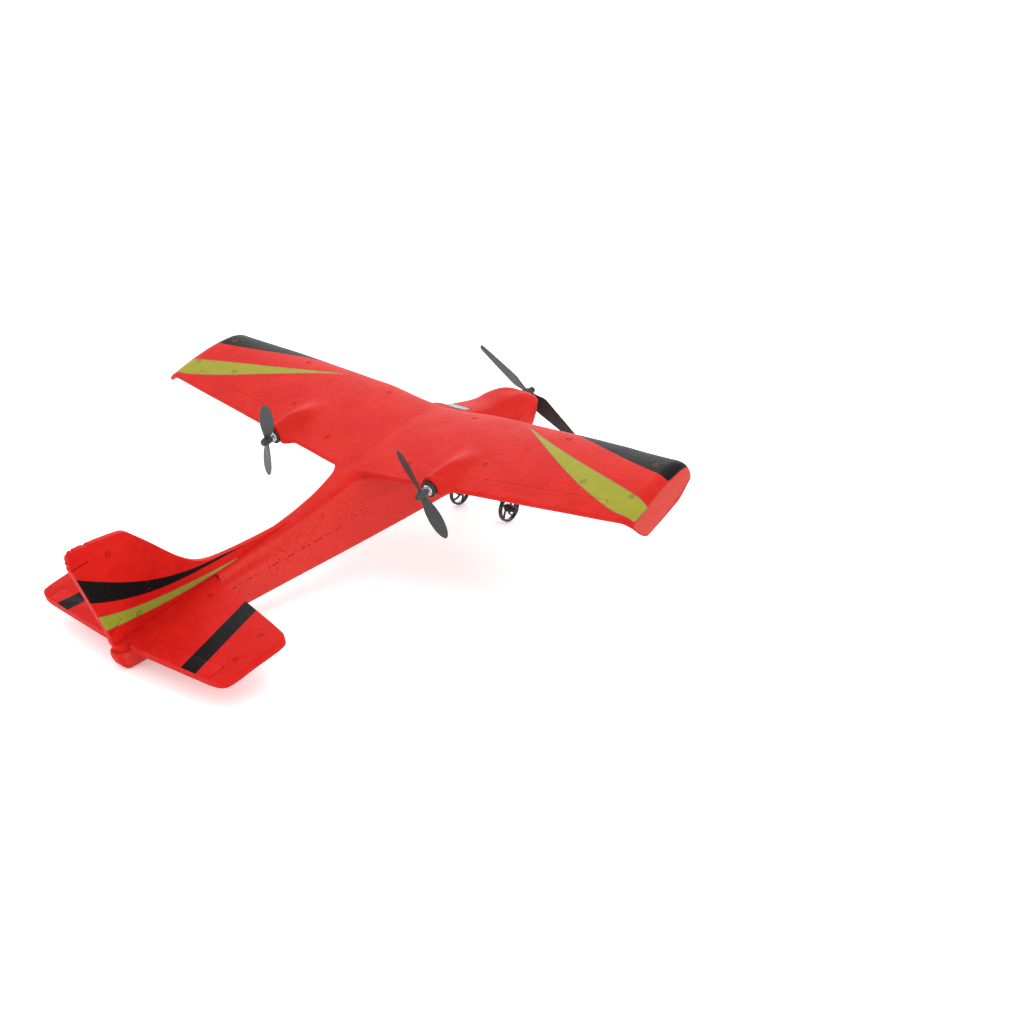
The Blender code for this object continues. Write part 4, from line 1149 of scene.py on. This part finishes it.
PUSHER_WIDTHS = [(0.0, 3.0), (0.14, 5.2), (0.34, 8.0), (0.56, 9.0), (0.76, 8.0), (0.91, 5.4), (0.975, 3.0), (1.0, 0.7)]
for side, word, angle in ((-1, "left", 0.32), (1, "right", -0.45)):
    x = side * MOTOR_X
    hub = np.array((x, 0.0, 0.0))
    profile = fillet([(1.3, 2.9), (1.9, 2.9), (2.3, 2.0), (2.3, -1.6), (2.1, -2.2), (1.9, -3.1), (1.4, -3.55), (1.0, -3.55)], 0.3)
    prop = propeller("pusher_propeller_" + word, hub, angle, 25.4, PUSHER_WIDTHS, profile, 0.62, -side, 13.0, 1.5)
    dress(prop, PUSHER_PLASTIC, "propeller_" + word, "propeller_plastic", "propeller_" + word)
    shaft = turned("motor_shaft_steel_" + word, fillet([(0.05, 8.6), (0.5, 8.6), (0.5, -2.9), (0.38, -3.2), (0.05, -3.2)], 0.08), "Y", hub, 20)
    dress(shaft, STEEL, "propeller_" + word, "steel_wire", "motor_shaft_" + word)
    # the can's rear end: a rolled rim round a sunk end bell with a bearing boss
    can = [(0.75, 6.2), (0.75, 4.25), (1.3, 4.25), (1.3, 4.9), (2.3, 4.9), (2.3, 4.15), (2.6, 4.0), (2.9, 4.1), (3.0, 4.5), (3.0, 23.1)]
    can += [(2.8, 23.7), (1.9, 24.0), (0.05, 24.0), (0.05, 6.2)]
    motor = turned("motor_can_" + word, fillet(can, 0.18, 3), "Y", hub, 56)
    slots = [block(f"can_slot_{word}_{k}", (-0.5, 3.6, 2.2), (0.5, 5.4, 3.8)) for k in range(4)]
    for k, tool in enumerate(slots):
        co = np.array([(-0.5, 3.4, 2.05), (0.5, 3.4, 2.05), (0.5, 4.75, 2.05), (-0.5, 4.75, 2.05), (-0.5, 3.4, 3.7), (0.5, 3.4, 3.7), (0.5, 4.75, 3.7), (-0.5, 4.75, 3.7)])
        a = k * math.pi / 2 + 0.6
        c, s = math.cos(a), math.sin(a)
        co = np.column_stack([co[:, 0] * c + co[:, 2] * s, co[:, 1], -co[:, 0] * s + co[:, 2] * c]) + hub
        bpy.data.objects.remove(tool, do_unlink=True)
        slots[k] = solid(f"slot_{word}_{k}", co, [(0, 1, 2, 3), (4, 5, 6, 7), (0, 1, 5, 4), (1, 2, 6, 5), (2, 3, 7, 6), (3, 0, 4, 7)])
    combine(motor, slots, sharp=35)
    dress(motor, CAN, "airframe", "motor_can", "motor_" + word)
    sleeve = [(4.0, 25.0), (4.03, 14.0), (4.05, 8.0), (4.4, 5.8), (4.4, 4.95), (4.15, 4.5), (3.6, 4.45), (3.2, 4.9), (3.2, 25.0)]
    mount = turned("motor_mount_plastic_" + word, fillet(sleeve, 0.3, 4, closed=True), "Y", hub, 64, ring=True)
    dress(mount, BLACK_PLASTIC, "airframe", "black_plastic", "motor_mount_" + word)

# ---------------------------------------------------------------- nose
NOSE_WIDTHS = [(0.0, 4.0), (0.1, 6.6), (0.25, 10.8), (0.45, 9.4), (0.65, 7.8), (0.82, 6.3), (0.94, 5.1), (0.985, 4.2), (1.0, 2.2)]
profile = fillet([(1.2, 2.0), (2.1, 2.0), (2.8, 1.1), (2.8, -1.4), (2.3, -2.0), (1.2, -2.0)], 0.4)
prop = propeller("nose_propeller_blades", NOSE_HUB, -0.933, 40.2, NOSE_WIDTHS, profile, 0.8, -1, 10.0, 1.5)
dress(prop, NOSE_PLASTIC, "nose_propeller", "propeller_plastic", "nose_propeller")
cap = turned("nose_cap", fillet([(0.05, 5.0), (1.25, 5.0), (2.0, 4.1), (2.0, 2.4), (0.85, 2.4), (0.85, 3.9), (0.05, 3.9)], 0.3), "Y", NOSE_HUB, 32)
dress(cap, BLACK_PLASTIC, "nose_propeller", "propeller_plastic", "nose_prop_cap")
pin = turned("nose_pin", fillet([(0.05, 3.6), (0.6, 3.6), (0.6, -12.9), (0.05, -13.0)], 0.1), "Y", NOSE_HUB, 20)
dress(pin, STEEL, "nose_propeller", "steel_wire", "nose_shaft")
bush = fillet([(3.2, -2.5), (3.2, -3.3), (2.4, -3.45), (2.2, -4.0), (2.0, -14.0), (0.95, -14.0), (0.95, -2.5)], 0.25, 4, closed=True)
bearing = turned("nose_bush", bush, "Y", NOSE_HUB, 40, ring=True)
dress(bearing, BLACK_PLASTIC, "airframe", "black_plastic", "nose_bearing")

# ---------------------------------------------------------------- landing gear


def spoke_rings(start, sweep):
    """A curved flat spoke in the wheel's plane, as rings of (axial, plane u, plane v)."""
    rings = []
    for t in np.linspace(0, 1, 12):
        r = 1.7 + 5.7 * t
        a = start + sweep * math.sin(t * math.pi / 2) ** 1.3
        centre = np.array((math.cos(a), math.sin(a))) * r
        ahead = start + sweep * math.sin(min(t + 0.02, 1.0) * math.pi / 2) ** 1.3
        step = np.array((math.cos(ahead), math.sin(ahead))) * (r + 0.114) - centre
        step /= np.linalg.norm(step)
        side_dir = np.array((-step[1], step[0]))
        width = 0.62 - 0.16 * math.sin(math.pi * t)
        ring = []
        for k in np.linspace(0, 2 * math.pi, 12, endpoint=False):
            c, s = math.cos(k), math.sin(k)
            c, s = math.copysign(abs(c) ** 0.6, c), math.copysign(abs(s) ** 0.6, s)
            flat = centre + side_dir * width * c
            ring.append((0.62 * s, flat[0], flat[1]))
        rings.append(np.array(ring))
    return rings


plate_shape = chain([(-9, 88), (9, 88), (9, 103), (-9, 103), (-9, 88)], 20)[:-1]
gear_plate = block("gear_plate", (-9, 88, -57.0), (9, 103, -53.4), 0.55)
ribs = [block(f"gear_rib_{k}", (-8.2, 89.1 + 3.1 * k, -57.55), (8.2, 89.7 + 3.1 * k, -56.6), 0.15) for k in (0, 1, 3, 4)]
for side in (-1, 1):
    boss = fillet([(0.05, -55.0), (2.0, -55.0), (2.0, -57.9), (1.7, -58.2), (0.05, -58.2)], 0.15)
    ribs.append(turned(f"gear_boss_{side}", boss, "Z", (side * 6.4, WHEEL_Y, 0), 28))
combine(gear_plate, ribs, "UNION", 35)
combine(gear_plate, [rod(f"leg_socket_{s}", 0.75, -70, -54.0, "Z", (s * 6.4, WHEEL_Y, 0), 20) for s in (-1, 1)], sharp=35)
dress(gear_plate, BLACK_PLASTIC, "airframe", "black_plastic", "landing_gear_plate")
for side, word in ((-1, "left"), (1, "right")):
    sx = side * 6.4
    route = [(sx, WHEEL_Y, -54.6), (sx, WHEEL_Y, -57.2), (sx, WHEEL_Y, -58.6), (side * 6.95, WHEEL_Y, -60.0), (side * 9.2, WHEEL_Y, -65.8)]
    route += [(side * 11.6, WHEEL_Y, -71.7), (side * 13.7, WHEEL_Y, WHEEL_Z + 1.7), (side * 14.5, WHEEL_Y, WHEEL_Z + 0.45)]
    route += [(side * 15.8, WHEEL_Y, WHEEL_Z), (side * 18.0, WHEEL_Y, WHEEL_Z), (side * 21.0, WHEEL_Y, WHEEL_Z), (side * 24.4, WHEEL_Y, WHEEL_Z)]
    leg = tube("gear_wire_" + word, rounded(route, 6, closed=False), 0.58)
    dress(leg, STEEL, "airframe", "steel_wire", "gear_leg_" + word)
    hub = np.array((side * WHEEL_X, WHEEL_Y, WHEEL_Z))
    rim = fillet([(8.18, 0.95), (8.18, -0.95), (7.75, -1.3), (7.05, -1.3), (6.85, -0.9), (6.85, 0.9), (7.05, 1.3), (7.75, 1.3)], 0.35, 4, closed=True)
    wheel = turned("wheel_rim_" + word, rim, "X", hub, 72, ring=True)
    boss = fillet([(1.0, 2.2), (2.2, 2.2), (2.4, 1.6), (2.4, -1.6), (2.2, -2.2), (1.0, -2.2)], 0.25, 3, closed=True)
    tools = [turned("wheel_boss_" + word, boss, "X", hub, 36, ring=True)]
    for k in range(5):
        tools.append(loft(f"spoke_{word}_{k}", [r + hub for r in spoke_rings(2 * math.pi * k / 5 + 0.5, side * 0.75)], 50))
    combine(wheel, tools, "UNION", 38)
    dress(wheel, GEAR_PLASTIC, "wheel_" + word, "wheel_plastic", "wheel_" + word)
    stub = [(1.0, 2.65), (1.75, 2.65), (1.75, 5.2), (1.35, 6.2), (0.95, 6.35)]
    stub = [(r, h * side) for r, h in fillet(stub, 0.3, 3)] + [(0.62, 6.35 * side), (0.62, 2.65 * side)]
    collar = turned("wheel_stub_" + word, stub, "X", hub, 28, ring=True)
    dress(collar, GEAR_PLASTIC, "airframe", "wheel_plastic", "wheel_collar_" + word)

# ---------------------------------------------------------------- belly equipment
cover = block("battery_cover_plastic", (-8.8, -20.0, 0.0), (8.8, 20.0, 1.6), 0.4, belly=True)
ribs = [block(f"cover_rib_{k}", (-4.6, 9.6 + 1.5 * k, -0.45), (4.6, 10.2 + 1.5 * k, 0.6), 0.18, belly=True) for k in range(5)]
combine(cover, ribs, "UNION", 35)
dress(cover, BLACK_PLASTIC, "battery_cover", "black_plastic", "battery_cover")
switch = block("switch_case", (-2.4, -32.0, 0.1), (2.4, -24.0, 4.2), 0.3, belly=True)
combine(switch, [block("switch_slot", (-1.1, -30.6, -2), (1.1, -25.4, 2.5), belly=True)], sharp=35)
dress(switch, BLACK_PLASTIC, "airframe", "black_plastic", "switch_body")
slider = block("switch_knob", (-0.7, -30.1, -1.3), (0.7, -27.9, 2.1), 0.18, belly=True)
grips = [block(f"knob_groove_{k}", (-1.2, -29.75 + 0.55 * k, -1.6), (1.2, -29.5 + 0.55 * k, -1.1), belly=True) for k in range(3)]
combine(slider, grips, sharp=35)
dress(slider, WHITE_PLASTIC, "switch_slider", "white_plastic", "switch_slider")
for name, mat in (("battery", CELL), ("control_board", BOARD), ("motor_lead_left", SHEATH), ("motor_lead_right", SHEATH)):
    nodes[name].data.materials.clear()
    nodes[name].data.materials.append(mat)

# seam pits along the boom's flanks, where the mould halves meet
dots = []
seam_y = [-92, -82, -60, -40, -20, -5, 4]
seam_z = [-17.6, -18.2, -20.2, -22.0, -23.2, -22.2, -21.8]
at, widths = np.array([y for y, _ in AFT]), np.array([np.ravel(h) for _, h in AFT])
for side in (-1, 1):
    y = -90.0
    while y < 1.5:
        z = float(np.interp(y, seam_y, seam_z)) + random.uniform(-0.35, 0.35)
        ring = list(body_rings(AFT, np.array([y])))[0]
        right_side = ring[ring[:, 0] > 0]
        order = np.argsort(right_side[:, 2])
        reach = float(np.interp(z, right_side[order, 2], right_side[order, 0]))
        higher = float(np.interp(z + 0.8, right_side[order, 2], right_side[order, 0]))
        if random.random() < 0.72:
            dots.append(((side * reach, y, z), (side, -0.04, -(higher - reach) / 0.8), (0, 1, -0.05), random.uniform(0.6, 1.7), random.uniform(0.22, 0.32)))
        y += random.uniform(1.8, 4.6)
    # and single open pores scattered over the rough flanks
    for _ in range(26):
        y, low = random.uniform(-62.0, 1.0), random.uniform(0.15, 0.85)
        ring = list(body_rings(AFT, np.array([y])))[0]
        right_side = ring[ring[:, 0] > 0]
        order = np.argsort(right_side[:, 2])
        z = -10.5 + low * (float(np.interp(y, seam_y, seam_z)) - 10.0 + 10.5)
        reach, higher = (float(np.interp(z + d, right_side[order, 2], right_side[order, 0])) for d in (0.0, 0.8))
        size = random.uniform(0.22, 0.42)
        dots.append(((side * reach, y, z), (side, -0.04, -(higher - reach) / 0.8), (0, 1, 0.2), size * random.uniform(1.0, 1.6), size))
surface_dots("boom_seam_pits", dots, PIT_BODY, "airframe")

# ---------------------------------------------------------------- camera, floor and light
eye = world([(537.22, -411.37, 391.76)])[0]
rows = np.array(
    [
        [0.758967670708, 0.633799294259, -0.149219735344],
        [0.258864725484, -0.503988840484, -0.824005037950],
        [-0.597458892912, 0.586765458479, -0.546579516645],
    ]
)
axes = rows @ D3.T
camera = bpy.data.objects.new("camera", bpy.data.cameras.new("camera"))
bpy.context.scene.collection.objects.link(camera)
camera.data.sensor_width = 36.0
camera.data.lens = 1500.0 * 36.0 / 1024.0
camera.data.clip_start, camera.data.clip_end = 0.01, 50.0
pose = Matrix.Identity(4)
for i in range(3):
    pose[i][0], pose[i][1], pose[i][2], pose[i][3] = axes[0][i], -axes[1][i], -axes[2][i], eye[i]
camera.matrix_world = pose
bpy.context.scene.camera = camera

bm = bmesh.new()
bmesh.ops.create_grid(bm, x_segments=1, y_segments=1, size=9.0)
floor_mesh = bpy.data.meshes.new("floor")
bm.to_mesh(floor_mesh)
bm.free()
floor = bpy.data.objects.new("floor", floor_mesh)
bpy.context.scene.collection.objects.link(floor)
floor.location = (0.0, 0.0, -0.0004)
g = Graph("pale_floor")
g.set("Base Color", (0.96, 0.96, 0.96, 1.0))
g.set("Emission Color", (1.0, 1.0, 1.0, 1.0))
g.set("Emission Strength", 0.26)
g.set("Roughness", 0.9)
g.set("Specular IOR Level", 0.1)
floor_mesh.materials.append(g.mat)

sky = bpy.data.worlds.new("studio")
bpy.context.scene.world = sky
sky.use_nodes = True
sky.node_tree.nodes["Background"].inputs["Color"].default_value = (1.0, 1.0, 1.0, 1.0)
sky.node_tree.nodes["Background"].inputs["Strength"].default_value = 1.35


def softbox(name, at, aim, size, power):
    lamp = bpy.data.lights.new(name, "AREA")
    lamp.shape, lamp.size, lamp.energy = "SQUARE", size, power
    obj = bpy.data.objects.new(name, lamp)
    bpy.context.scene.collection.objects.link(obj)
    obj.location = at
    obj.rotation_euler = (Vector(aim) - Vector(at)).to_track_quat("-Z", "Y").to_euler()


softbox("overhead", (0.1, -0.2, 1.5), (0.0, 0.0, 0.05), 1.4, 4.0)
softbox("behind", (0.95, -1.05, 0.75), (0.0, 0.0, 0.06), 0.9, 5.0)
softbox("fill", (-1.2, 0.7, 0.6), (0.0, 0.0, 0.05), 1.2, 1.0)
bpy.context.scene.view_settings.view_transform = "Standard"
bpy.context.scene.view_settings.look = "None"
